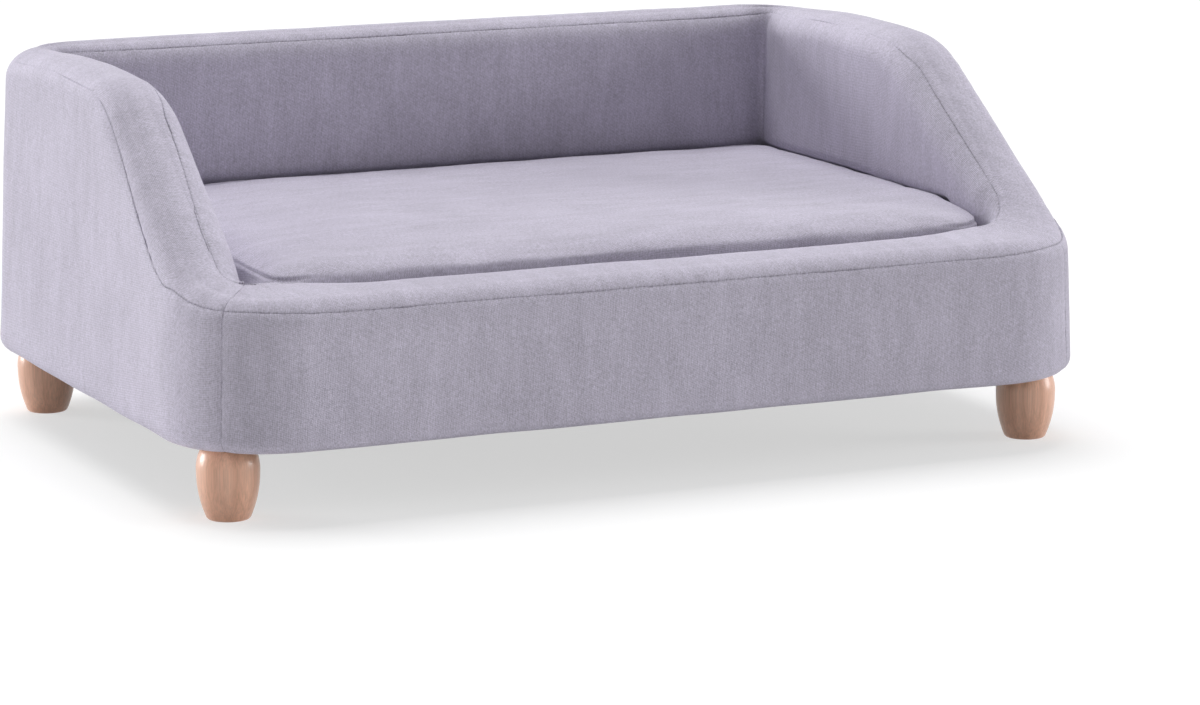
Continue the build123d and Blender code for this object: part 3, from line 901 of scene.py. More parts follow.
    def outer_panel(self, ring: Ring) -> Panel:
        """The cloth from its hem, round the foot and up the wall to the outer seam.

        Args:
            ring: Stations of the wall.

        Returns:
            The panel, from the hem up.
        """
        radius = self.shoulder_radius(ring)
        seam_angle = np.arcsin(1.0 - self.seam_drop(ring) / radius)
        hem = self.hem_width(ring)
        none = np.zeros(len(hem))
        level = none + self.foot
        start = self.shoulder(ring, none, radius)[:, 2]
        base = self.foot + self.foot_round
        rows = [
            self.leaned(ring, hem + (self.foot_round - hem) * share, level)
            for share in np.linspace(0.0, self.hem_reach, self.hem_rows)
        ]
        for angle in np.linspace(0.0, math.pi / 2.0, self.foot_rows, endpoint=False):
            inset = self.foot_round * (1.0 - math.sin(angle))
            rows.append(self.leaned(ring, inset, level + self.foot_round * (1.0 - math.cos(angle))))
        for share in np.linspace(0.0, 1.0, self.wall_rows, endpoint=False):
            rows.append(self.leaned(ring, none, base + (start - base) * share))
        for share in np.linspace(0.0, 1.0, self.shoulder_rows):
            rows.append(self.shoulder(ring, seam_angle * share, radius))
        tight = self.tightness(ring, self.loose_cover)
        return Panel(np.stack(rows), ring.outer_length, sewn_rows=(False, True), tight=tight)

    def tightness(self, ring: Ring, below: float) -> np.ndarray:
        """How much the seams show, which is hardly at all on the arms' level tops.

        Args:
            ring: Stations of the wall.
            below: How far under the highest crest the level tops start.

        Returns:
            0 to 1 for each station.
        """
        crest = self.crest.height(ring.inner)[0]
        level = smooth_step(crest, self.crest.high - below, self.crest.high)
        return 1.0 - self.loose * level * ring.facing[:, 0] ** 2

    def border_panel(self, ring: Ring, slid_by: float = 1.0) -> Panel:
        """The strip along the crest, between the outer and the inner seam.

        Args:
            ring: Stations of the wall.
            slid_by: Share of the mitres' slide.

        Returns:
            The panel, from the outer seam inwards.
        """
        shoulder_rows, top_rows, inner_rows = self.border_rows
        rows = []
        for share in np.linspace(0.0, 1.0, shoulder_rows):
            slid = self.plan.skewed(ring, slid_by * self.shoulder_end * share)
            radius = self.shoulder_radius(slid)
            start = np.arcsin(1.0 - self.seam_drop(slid) / radius)
            rows.append(self.shoulder(slid, start + (math.pi / 2.0 - start) * share, radius))
        for share in np.linspace(0.0, 1.0, top_rows)[1:-1]:
            across = self.shoulder_end + (self.top_end - self.shoulder_end) * share
            slid = self.plan.skewed(ring, slid_by * across)
            radius = self.shoulder_radius(slid)
            start = self.shoulder(slid, np.full(len(radius), math.pi / 2.0), radius)[:, :2]
            flat = start + (self.inner_rounding(slid, 0.0)[:, :2] - start) * share
            crown = self.crown * (1.0 - (2.0 * share - 1.0) ** 2)
            rows.append(at_height(flat, self.crest.height(flat)[0] + crown))
        for share in np.linspace(0.0, 1.0, inner_rows):
            slid = self.plan.skewed(ring, slid_by * (self.top_end + (1.0 - self.top_end) * share))
            rows.append(self.inner_rounding(slid, self.seam_tilt(slid) * share))
        tight = self.tightness(ring, self.loose_cover)
        return Panel(np.stack(rows), ring.outer_length, tight=tight)

    def lining_panel(self, ring: Ring) -> Panel:
        """The cloth from the inner seam down the well's wall and out under the cushion.

        Args:
            ring: Stations of the wall.

        Returns:
            The panel, from the seam down.
        """
        rounding_rows, wall_rows, fillet_rows = self.lining_rows
        tilt = self.seam_tilt(ring)
        rows = [
            self.inner_rounding(ring, tilt + (math.pi / 2.0 - tilt) * share)
            for share in np.linspace(0.0, 1.0, rounding_rows)
        ]
        start = rows[-1][:, 2]
        base = self.well_floor + self.well_fillet
        for share in np.linspace(0.0, 1.0, wall_rows)[1:]:
            height = start + (base - start) * share
            rows.append(at_height(ring.inner - ring.facing * self.puff(ring, height)[:, None], height))
        for turn in np.linspace(0.0, math.pi / 2.0, fillet_rows)[1:]:
            flat = ring.inner - ring.facing * self.well_fillet * (1.0 - math.cos(turn))
            rows.append(at_height(flat, base - self.well_fillet * math.sin(turn)))
        tight = self.tightness(ring, self.loose_lining)
        return Panel(np.stack(rows), ring.inner_length, sewn_rows=(True, False), tight=tight)

    def build(self, velvet: bpy.types.Material) -> None:
        """Make the eight sewn panels and let them stand for the construction's cloth and foam.

        Args:
            velvet: The cover's cloth.
        """
        seed = 20
        for wall in (Wall.FRONT, Wall.WRAP):
            ring = self.plan.ring(*wall.value)
            foams = ["foam_front"] if wall is Wall.FRONT else ["foam_left", "foam_back", "foam_right"]
            for name, panel, stood_for in (
                (f"cover_panel_{wall.node}", self.outer_panel(ring), [f"cover_{wall.node}", *foams]),
                (f"border_strip_{wall.node}", self.border_panel(ring), [f"border_{wall.node}"]),
            ):
                piece = self.sewing.sewn(name, panel, velvet, seed)
                finish_piece(piece, "sofa", "velvet", *stood_for)
                seed += 10
        for wall in (Wall.RIGHT, Wall.BACK, Wall.LEFT, Wall.FRONT):
            ring = self.plan.ring(*wall.value)
            piece = self.sewing.sewn(f"well_lining_{wall.node}", self.lining_panel(ring), velvet, seed)
            finish_piece(piece, "sofa", "velvet", f"lining_{wall.node}")
            seed += 10


def finish_piece(piece: bpy.types.Object, body: str, slot: str, *nodes: str) -> None:
    """Seat a piece on its body and hide the nodes that it stands for.

    Args:
        piece: The piece.
        body: Body that it moves with.
        slot: Material slot of the record; not used.
        nodes: Construction nodes that it replaces.
    """
    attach(piece, body)
    if nodes:
        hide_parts(*nodes)
    log.info("%s: %d faces on %s", piece.name, len(piece.data.polygons), body)


def add_node(
    tree: bpy.types.NodeTree,
    kind: str,
    inputs: dict,
    output: int | str = 0,
    **settings: str | bool | float,
) -> Socket:
    """Add a shader node.

    Args:
        tree: Where it is added.
        kind: Its type, without the ShaderNode in front.
        inputs: Numbers, colours or other nodes' outputs by socket name or number.
        output: The output to hand back.
        settings: Its own settings.

    Returns:
        The chosen output.
    """
    node = tree.nodes.new("ShaderNode" + kind)
    for setting, value in settings.items():
        setattr(node, setting, value)
    for socket, value in inputs.items():
        if isinstance(value, Socket):
            tree.links.new(value, node.inputs[socket])
        else:
            node.inputs[socket].default_value = value
    return node.outputs[output]


def seen_directly(tree: bpy.types.NodeTree) -> Socket:
    """Tell rays from the lens, gloss and glass from those that light other things.

    Args:
        tree: Where the nodes are added.

    Returns:
        1 for the former and 0 for the latter.
    """
    path = tree.nodes.new("ShaderNodeLightPath").outputs
    glossy = {0: path["Is Glossy Ray"], 1: path["Is Transmission Ray"]}
    either = add_node(tree, "Math", glossy, operation="MAXIMUM")
    return add_node(tree, "Math", {0: path["Is Camera Ray"], 1: either}, operation="MAXIMUM")


class Bench:
    """The shader nodes of one material, with short ways to add and join them."""

    def __init__(self, name: str, roughness: float, **sockets: float | tuple) -> None:
        """Start a material with a Principled shader.

        Args:
            name: Name of the material.
            roughness: Its roughness.
            sockets: Other sockets of the shader by name, with _ for each space.
        """
        self.material = bpy.data.materials.new(name)
        self.material.use_nodes = True
        self.tree = self.material.node_tree
        self.shader = self.tree.nodes["Principled BSDF"]
        self.shader.inputs["Roughness"].default_value = roughness
        for socket, value in sockets.items():
            self.shader.inputs[socket.replace("_", " ")].default_value = value

    def node(
        self, kind: str, inputs: dict, output: int | str = 0, **settings: str | bool | float
    ) -> Socket:
        """Add a node to this material, as add_node() does."""
        return add_node(self.tree, kind, inputs, output, **settings)

    def maths(self, operation: str, *values: float | Socket) -> Socket:
        """A Math node over numbers and outputs."""
        return self.node("Math", dict(enumerate(values)), operation=operation)

    def place(self) -> Socket:
        """Places in the piece's own frame, in metres."""
        return self.node("TexCoord", {}, "Object")

    def chart(self, name: str) -> Socket:
        """Places on one of the piece's texture maps."""
        return self.node("UVMap", {}, "UV", uv_map=name)

    def stretched(self, where: Socket, scale: tuple) -> Socket:
        """Places scaled along each axis."""
        return self.node("VectorMath", {0: where, 1: scale}, "Vector", operation="MULTIPLY")

    def noise(self, where: Socket, scale: float, detail: float = 2.0, rough: float = 0.5) -> Socket:
        """Noise from 0 to 1."""
        sockets = {"Vector": where, "Scale": scale, "Detail": detail, "Roughness": rough}
        return self.node("TexNoise", sockets, "Fac")

    def part(self, where: Socket, axis: str) -> Socket:
        """One number of a vector."""
        return self.node("SeparateXYZ", {0: where}, axis)

    def wave(self, where: Socket, axis: str, turn: float, offset: Socket | float = 0.0) -> Socket:
        """The sine of one number of a vector times a factor plus an offset."""
        return self.maths("SINE", self.maths("MULTIPLY_ADD", self.part(where, axis), turn, offset))

    def varied(self, value: Socket, amount: float, tone: Socket | float = 1.0) -> Socket:
        """A tone plus an amount times how far a value lies from one half."""
        return self.maths("MULTIPLY_ADD", self.maths("SUBTRACT", value, 0.5), amount, tone)

    def ramp(self, value: Socket, low: float, high: float, start: float, end: float) -> Socket:
        """Map low to start and high to end, smoothly and clamped."""
        sockets = {0: value, 1: low, 2: high, 3: start, 4: end}
        return self.node("MapRange", sockets, interpolation_type="SMOOTHSTEP", clamp=True)

    def tone(self, colour: tuple | Socket, amount: Socket) -> Socket:
        """A colour times a number."""
        return self.node("VectorMath", {0: colour, "Scale": amount}, "Vector", operation="SCALE")

    def mixed(self, share: Socket, first: tuple, second: tuple) -> Socket:
        """Two colours mixed by a share."""
        return self.node("Mix", {0: share, 6: first, 7: second}, 2, data_type="RGBA")

    def finish(
        self, colour: Socket, height: Socket | None = None, lift: float = 0.0
    ) -> bpy.types.Material:
        """Join the colour and the relief to the shader.

        Args:
            colour: Base colour.
            height: Relief from 0 to 1.
            lift: Height of the relief in metres.

        Returns:
            The material.
        """
        self.tree.links.new(colour, self.shader.inputs["Base Color"])
        if height is not None:
            bump = self.node("Bump", {"Height": height, "Distance": lift, "Strength": 1.0}, "Normal")
            self.tree.links.new(bump, self.shader.inputs["Normal"])
        return self.material


@dataclass(frozen=True)
class NapFabric:
    """Short-napped woven upholstery, with dark needle holes and a painted shade line along its seams.
    """

    name: str
    colour: Colour = (0.545, 0.513, 0.614)
    pitch: float = 0.0021
    weave_turn: float = 38.0
    rung: float = 0.8
    wobble: float = 4.0
    wobble_scale: float = 260.0
    contrast: float = 0.46
    fuzz: float = 1.0
    fuzz_scale: float = 420.0
    streak: tuple[float, float] = (60.0, 14.0)
    streak_tone: float = 0.34
    patch_scale: float = 9.0
    patch_tone: float = 0.22
    # Painted shade: close to a seam the cloth is darkened to this tone, over the distances below,
    # standing in for the shade in the seam's groove.
    painted_seam_shade_tone: float = 0.88
    painted_seam_shade: Fade = (0.0002, 0.0012)
    holes: float = 0.12
    hole_ends: Fade = (0.2, 0.9)
    hole_sides: Fade = (0.0012, 0.0024)
    stitch: float = 0.0042
    relief: float = 0.00035

    def make(self) -> bpy.types.Material:
        """Build the material: a twill of small dots, fuzz, brushed streaks, needle holes and painted
        shade along the seams.

        Returns:
            The material.
        """
        bench = Bench(
            self.name,
            0.92,
            Specular_IOR_Level=0.25,
            Sheen_Weight=0.3,
            Sheen_Roughness=0.45,
            Sheen_Tint=(0.93, 0.91, 1.0, 1.0),
        )
        weave = bench.chart(WEAVE_MAP)
        seam = bench.chart(SEAM_MAP)
        where = bench.place()
        rotation = (0.0, 0.0, math.radians(self.weave_turn))
        turned = bench.node("Mapping", {"Vector": weave, "Rotation": rotation}, "Vector")
        turn = 2.0 * math.pi / self.pitch
        wobble = bench.maths("MULTIPLY", bench.noise(where, self.wobble_scale, 1.0), self.wobble)
        ridge = bench.wave(turned, "X", turn, wobble)
        rung = bench.wave(turned, "Y", turn * self.rung, wobble)
        dots = bench.maths("MULTIPLY_ADD", bench.maths("MULTIPLY", ridge, rung), 0.5, 0.5)
        fuzz = bench.noise(where, self.fuzz_scale, 3.0, 0.75)
        streaks = bench.noise(bench.stretched(weave, (*self.streak, 1.0)), 1.0, 3.0, 0.6)
        patches = bench.noise(where, self.patch_scale, 3.0, 0.55)
        tone = bench.varied(dots, self.contrast)
        tone = bench.varied(fuzz, self.fuzz, tone)
        tone = bench.varied(streaks, self.streak_tone, tone)
        tone = bench.varied(patches, self.patch_tone, tone)
        distance = bench.part(seam, "Y")
        # Painted shade along each seam, darkest right at it.
        painted_seam_shade = bench.ramp(distance, *self.painted_seam_shade, self.painted_seam_shade_tone, 1.0)
        along = bench.wave(seam, "X", 2.0 * math.pi / self.stitch)
        along = bench.ramp(along, *self.hole_ends, 0.0, 1.0)
        hole = bench.maths("MULTIPLY", along, bench.ramp(distance, *self.hole_sides, 1.0, 0.0))
        tone = bench.maths("MULTIPLY", tone, painted_seam_shade)
        tone = bench.maths("MULTIPLY", tone, bench.maths("MULTIPLY_ADD", hole, -self.holes, 1.0))
        relief = bench.maths("MULTIPLY_ADD", fuzz, 0.6, bench.maths("MULTIPLY", dots, 0.4))
        return bench.finish(bench.tone(self.colour, tone), relief, self.relief)


@dataclass(frozen=True)
class PlainCloth:
    """A simple cloth or nonwoven in one colour with a fine thread or fibre pattern."""

    name: str
    colour: Colour
    pitch: float
    contrast: float = 0.25
    threads: float = 0.17
    fuzz_scale: float = 400.0
    relief: float = 0.0002

    def make(self) -> bpy.types.Material:
        """Build the material from three crossed sets of threads and some fuzz.

        Returns:
            The material.
        """
        bench = Bench(self.name, 0.95, Specular_IOR_Level=0.2)
        where = bench.place()
        warp, weft, rise = (bench.wave(where, axis, 2.0 * math.pi / self.pitch) for axis in "XYZ")
        crossed = bench.maths("ADD", bench.maths("ADD", warp, weft), rise)
        threads = bench.maths("MULTIPLY_ADD", crossed, self.threads, 0.5)
        fuzz = bench.noise(where, self.fuzz_scale, 3.0, 0.7)
        mix = bench.maths("MULTIPLY_ADD", threads, 0.5, bench.maths("MULTIPLY", fuzz, 0.5))
        tone = bench.varied(mix, self.contrast * 2.0)
        return bench.finish(bench.tone(self.colour, tone), mix, self.relief)


@dataclass(frozen=True)
class FoamStuff:
    """Open-cell foam."""

    name: str
    colour: Colour = (0.85, 0.82, 0.70)
    cells: float = 700.0
    cell_edge: float = 0.7
    # Tones from each cell's middle to its edge; the darker middle is painted shade in the hollow.
    tones: tuple[float, float] = (0.72, 1.06)
    relief: float = 0.0004

    def make(self) -> bpy.types.Material:
        """Build the material from small cells with painted shade in their hollows.

        Returns:
            The material.
        """
        bench = Bench(self.name, 0.95, Specular_IOR_Level=0.15)
        cells = bench.node("TexVoronoi", {"Vector": bench.place(), "Scale": self.cells}, "Distance")
        # Painted shade: darkest at each cell's middle, its hollow, and lighter towards the cell's edge.
        tone = bench.ramp(cells, 0.0, self.cell_edge, *self.tones)
        return bench.finish(bench.tone(self.colour, tone), cells, self.relief)


class Grain(Enum):
    """Directions that wood grain runs in, as scales of a piece's own axes."""

    UPRIGHT = (230.0, 230.0, 9.0)
    ALONG_X = (7.0, 160.0, 160.0)
    ALONG_Y = (160.0, 7.0, 160.0)


@dataclass(frozen=True)
class SawnWood:
    """Wood with long grain lines, oiled or lacquered."""

    name: str
    light: Colour
    dark: Colour
    grain: Grain
    roughness: float = 0.6
    coat: float = 0.0
    bands: tuple[float, float, float] = (0.35, 0.35, 0.35)
    band_edges: Fade = (0.32, 0.68)
    fibres: tuple[float, float, float] = (3.0, 3.0, 1.6)
    pores: float = 0.10
    slow_scale: float = 14.0
    slow_tone: float = 0.2
    relief: float = 0.00012

    def make(self) -> bpy.types.Material:
        """Build the material from stretched noise, finer pores and a slow change of tone.

        Returns:
            The material.
        """
        bench = Bench(self.name, self.roughness, Coat_Weight=self.coat, Coat_Roughness=0.18)
        where = bench.place()
        long = bench.stretched(where, self.grain.value)
        bands = bench.noise(bench.stretched(long, self.bands), 1.0, 4.0, 0.6)
        bands = bench.ramp(bands, *self.band_edges, 0.0, 1.0)
        fibres = bench.noise(bench.stretched(long, self.fibres), 1.0, 3.0, 0.7)
        colour = bench.mixed(bands, (*self.light, 1.0), (*self.dark, 1.0))
        tone = bench.varied(bench.ramp(fibres, 0.3, 0.7, 0.0, 1.0), self.pores * 2.0)
        tone = bench.varied(bench.noise(where, self.slow_scale, 1.0), self.slow_tone, tone)
        return bench.finish(bench.tone(colour, tone), fibres, self.relief)


@dataclass(frozen=True)
class Metal:
    """Plated metal with a fine grain."""

    name: str
    colour: Colour
    roughness: float = 0.38
    relief: float = 0.00002

    def make(self) -> bpy.types.Material:
        """Build the material from fine noise in its tone.

        Returns:
            The material.
        """
        bench = Bench(self.name, self.roughness, Metallic=1.0)
        speck = bench.noise(bench.place(), 600.0, 2.0)
        return bench.finish(bench.tone(self.colour, bench.varied(speck, 0.18)), speck, self.relief)


@dataclass(frozen=True)
class CoilPlastic:
    """Nylon of the zip's teeth."""

    name: str
    colour: Colour = (0.40, 0.38, 0.45)

    def make(self) -> bpy.types.Material:
        """Build the material from a faint change of tone.

        Returns:
            The material.
        """
        bench = Bench(self.name, 0.4)
        speck = bench.noise(bench.place(), 300.0, 1.0)
        return bench.finish(bench.tone(self.colour, bench.varied(speck, 0.1)))


@dataclass
class WallFoam:
    """Foam over each wall's plywood and over the deck, under the cloth."""

    plan: WallPlan
    cover: SewnCover
    under_cloth: float = 0.0046
    outer_wood: float = 0.020
    inner_wood: float = 0.014
    crest_wood: float = 0.018
    start: float = 0.0730
    deck_corner: float = 0.032
    deck_spacing: float = 0.02
    deck_edge: float = 0.003
    deck_clear: float = 0.0001

    def section(self, ring: Ring) -> np.ndarray:
        """Closed sections: up under the cover, over the crest, down the well and back along the wood.

        Args:
            ring: Stations of the wall.

        Returns:
            Points with the rows round the section and the columns along the wall.
        """
        cover, shoulder_rows = self.cover, self.cover.shoulder_rows
        outside = cover.outer_panel(ring).points
        wall_start = -cover.wall_rows - shoulder_rows
        cloth = np.concatenate(
            [
                outside[wall_start:-shoulder_rows:3],
                outside[-shoulder_rows:-1],
                cover.border_panel(ring, 0.0).points[1:-1],
                cover.lining_panel(ring).points[2 : 1 - cover.lining_rows[-1]],
            ]
        )
        skin = cloth - grid_normals(cloth) * self.under_cloth
        skin[..., 2] = np.maximum(skin[..., 2], self.start)
        inner = ring.inner + ring.facing * self.inner_wood
        outer = ring.outer - ring.facing * self.outer_wood
        upper = outer - ring.facing * cover.lean
        height = cover.crest.height(inner)[0] - self.crest_wood
        low = skin[-1][:, 2]
        wood = [
            at_height(inner, low),
            at_height(inner, (low + height) / 2.0),
            at_height(inner, height),
            at_height(upper, height),
            at_height(outer, (height + self.start) / 2.0),
            at_height(outer, self.start),
        ]
        return np.concatenate([skin, np.stack(wood)])

    def build(self, foam: bpy.types.Material) -> None:
        """Make the foam of the four walls and of the deck.

        Args:
            foam: The foam's finish.
        """
        for wall in (Wall.RIGHT, Wall.BACK, Wall.LEFT, Wall.FRONT):
            points = self.section(self.plan.ring(*wall.value))
            rows, columns = points.shape[:2]
            ends = np.arange(rows) * columns
            faces = grid_faces(rows, columns, closed_rows=True).tolist()
            faces += [ends.tolist(), (ends + columns - 1).tolist()[::-1]]
            piece = make_piece(f"wall_foam_{wall.node}", points, faces, foam)
            finish_piece(piece, "sofa", "foam", f"foam_{wall.node}")
        low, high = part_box("foam_deck")
        outline, facing = rounded_outline(low, high, self.deck_corner, self.deck_spacing)
        narrow = outline - facing * self.deck_edge
        rows = [
            at_height(narrow, low.z + self.deck_clear),
            at_height(outline, low.z + self.deck_edge),
            at_height(outline, high.z - self.deck_edge),
            at_height(narrow, high.z - self.deck_clear),
        ]
        columns = len(outline)
        last = (len(rows) - 1) * columns
        faces = grid_faces(len(rows), columns, closed_columns=True).tolist()
        faces += [list(range(columns))[::-1], list(range(last, last + columns))]
        piece = make_piece("deck_foam", np.stack(rows), faces, foam, smooth=False)
        finish_piece(piece, "sofa", "foam", "foam_deck")


def rounded_outline(
    low: Vector, high: Vector, radius: float, spacing: float
) -> tuple[np.ndarray, np.ndarray]:
    """Rounded rectangle, counter-clockwise from the right side's front end.

    Args:
        low: Its lowest corner.
        high: Its highest corner.
        radius: Radius of its corners.
        spacing: About the distance between points.

    Returns:
        Points and outward directions.
    """
    reach = np.array([high.x - low.x, high.y - low.y]) / 2.0 - radius
    turns = np.linspace(0.0, ROUND, OUTLINE_STEPS, endpoint=False)
    points = rounded(turns, SIGNS * reach + plan_middle(low, high), np.full((4, 1), radius))
    return spaced(points, round_places(turns)[-1], spacing)


@dataclass
class DeckAndBase:
    """The deck cloth under the cushion, and the dust cover stapled under the base."""

    hole: float = 0.0245
    hole_points: int = 40
    hole_share: float = 0.98
    merge: float = 1e-6
    deck_corner: float = 0.020
    deck_spacing: float = 0.012
    deck_drop: float = 0.0004
    deck_cloth: float = 0.0012
    deck_wave: float = 0.0003
    deck_wavelength: float = 0.09
    dust_corner: float = 0.09
    dust_spacing: float = 0.014
    dust_cloth: float = 0.0005
    dust_wave: float = 0.4
    dust_wavelength: float = 0.06
    sag: float = 0.0016
    sag_reach: float = 0.10
    staple_spacing: float = 0.042
    staple_inset: float = 0.009
    staple_clearance: float = 0.012
    staple_width: float = 0.010
    wire: float = 0.0007

    def sheet(
        self, name: str, node: str, corner: float, holes: list[np.ndarray], spacing: float
    ) -> tuple[np.ndarray, list]:
        """Triangles over a rounded rectangle with round holes.

        Args:
            name: Name of the sheet.
            node: Construction node whose box it fills.
            corner: Radius of its corners.
            holes: Middles of the holes.
            spacing: About the size of a triangle.

        Returns:
            Flat points and triangles.
        """
        low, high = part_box(node)
        outline, _ = rounded_outline(low, high, corner, spacing)
        turn = np.linspace(0.0, 2.0 * math.pi, self.hole_points + 1)[:-1]
        circle = np.stack([np.cos(turn), np.sin(turn)], axis=-1) * self.hole
        loops = [outline, *(middle + circle for middle in holes)]
        x = np.arange(low.x + spacing, high.x - spacing / 2.0, spacing)
        y = np.arange(low.y + spacing, high.y - spacing / 2.0, spacing)
        inner = np.stack(np.meshgrid(x, y, indexing="ij"), axis=-1).reshape(-1, 2)
        reach = np.array([high.x - low.x, high.y - low.y]) / 2.0 - corner
        past = np.maximum(np.abs(inner - plan_middle(low, high)) - reach, 0.0)
        inner = inner[np.linalg.norm(past, axis=1) < corner - spacing / 2.0]
        for hole in holes:
            inner = inner[np.linalg.norm(inner - hole, axis=1) > self.hole + spacing / 2.0]
        edges, start = [], 0
        for loop in loops:
            edges += [(start + i, start + (i + 1) % len(loop)) for i in range(len(loop))]
            start += len(loop)
        flat = [Vector(point) for point in np.concatenate([*loops, inner])]
        points, _, triangles, *_ = delaunay_2d_cdt(flat, edges, [], 1, self.merge)
        points = np.array([tuple(point) for point in points])
        middles = points[np.array(triangles)].mean(1)
        keep = np.ones(len(triangles), bool)
        for hole in holes:
            keep &= np.linalg.norm(middles - hole, axis=1) > self.hole * self.hole_share
        log.info("%s: %d triangles", name, int(keep.sum()))
        return points, [tuple(triangle) for triangle, kept in zip(triangles, keep) if kept]

    def build_deck(self, cloth: bpy.types.Material) -> None:
        """Make the deck cloth, stretched over the deck foam.

        Args:
            cloth: Its finish.
        """
        low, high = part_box("deck_cloth")
        flat, faces = self.sheet("deck_sheet", "deck_cloth", self.deck_corner, [], self.deck_spacing)
        uneven = ripple(at_height(flat, 0.0), self.deck_wavelength, 5) * self.deck_wave
        points = at_height(flat, high.z - self.deck_drop + uneven)
        piece = make_piece("deck_sheet", points, faces, cloth)
        thicken(piece, self.deck_cloth)
        finish_piece(piece, "sofa", "deck_cloth", "deck_cloth")

    def build_dust_cover(self, cloth: bpy.types.Material, steel: bpy.types.Material) -> None:
        """Make the dust cover with its leg holes, and its staples.

        Args:
            cloth: Finish of the cover.
            steel: Finish of the staples.
        """
        low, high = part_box("dust_cover")
        legs = [plan_middle(*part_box(f"leg_{corner}")) for corner in CORNERS]
        flat, faces = self.sheet("dust_sheet", "dust_cover", self.dust_corner, legs, self.dust_spacing)
        edge = np.minimum(high.x - np.abs(flat[:, 0]), high.y - np.abs(flat[:, 1]))
        wave = ripple(at_height(flat, 0.0), self.dust_wavelength, 9)
        sag = self.sag * smooth_step(edge, 0.0, self.sag_reach)
        height = low.z - sag * (1.0 - self.dust_wave + self.dust_wave * wave)
        piece = make_piece("dust_sheet", at_height(flat, height), faces, cloth)
        thicken(piece, self.dust_cloth)
        finish_piece(piece, "sofa", "dust_cloth", "dust_cover")
        outline, facing = rounded_outline(low, high, self.dust_corner, self.staple_spacing)
        middles = outline - facing * self.staple_inset
        along = np.stack([-facing[:, 1], facing[:, 0]], axis=-1)
        to_leg = np.min([np.linalg.norm(middles - leg, axis=1) for leg in legs], axis=0)
        clear = to_leg > self.hole + self.staple_clearance
        points, faces = self.staples(middles[clear], along[clear], low.z)
        piece = make_piece("dust_sheet_staples", points, faces, steel, smooth=False)
        finish_piece(piece, "sofa", "zinc_steel")

    def staples(
        self, middles: np.ndarray, along: np.ndarray, height: float
    ) -> tuple[np.ndarray, np.ndarray]:
        """Staples: short bars under a board, with their two legs turned up into it.

        Args:
            middles: Plan points of their middles.
            along: Their directions.
            height: Underside that they lie on.

        Returns:
            Points and quads of all of them.
        """
        ends = np.array([[-0.5, 1.0], [-0.5, -1.0], [0.5, -1.0], [0.5, 1.0]])
        path = ends * (self.staple_width, self.wire * 1.2)
        section = np.array([[-1.0, -1.0], [1.0, -1.0], [1.0, 1.0], [-1.0, 1.0]]) * self.wire / 2.0
        across = np.stack([-along[:, 1], along[:, 0]], axis=-1)
        reach = path[:, :1] + np.sign(ends[:, :1]) * section[:, 0]
        rise = path[:, 1:] + (ends[:, 1:] < 0.0) * section[:, 0]
        flat = middles[:, None, None] + along[:, None, None] * reach[..., None]
        flat = flat + across[:, None, None] * section[:, 1][:, None]
        points = at_height(flat, height + rise)
        faces = grid_faces(4, 4, closed_columns=True)
        starts = np.arange(len(middles))[:, None, None] * ends.shape[0] * section.shape[0]
        return points, (faces[None] + starts).reshape(-1, 4)


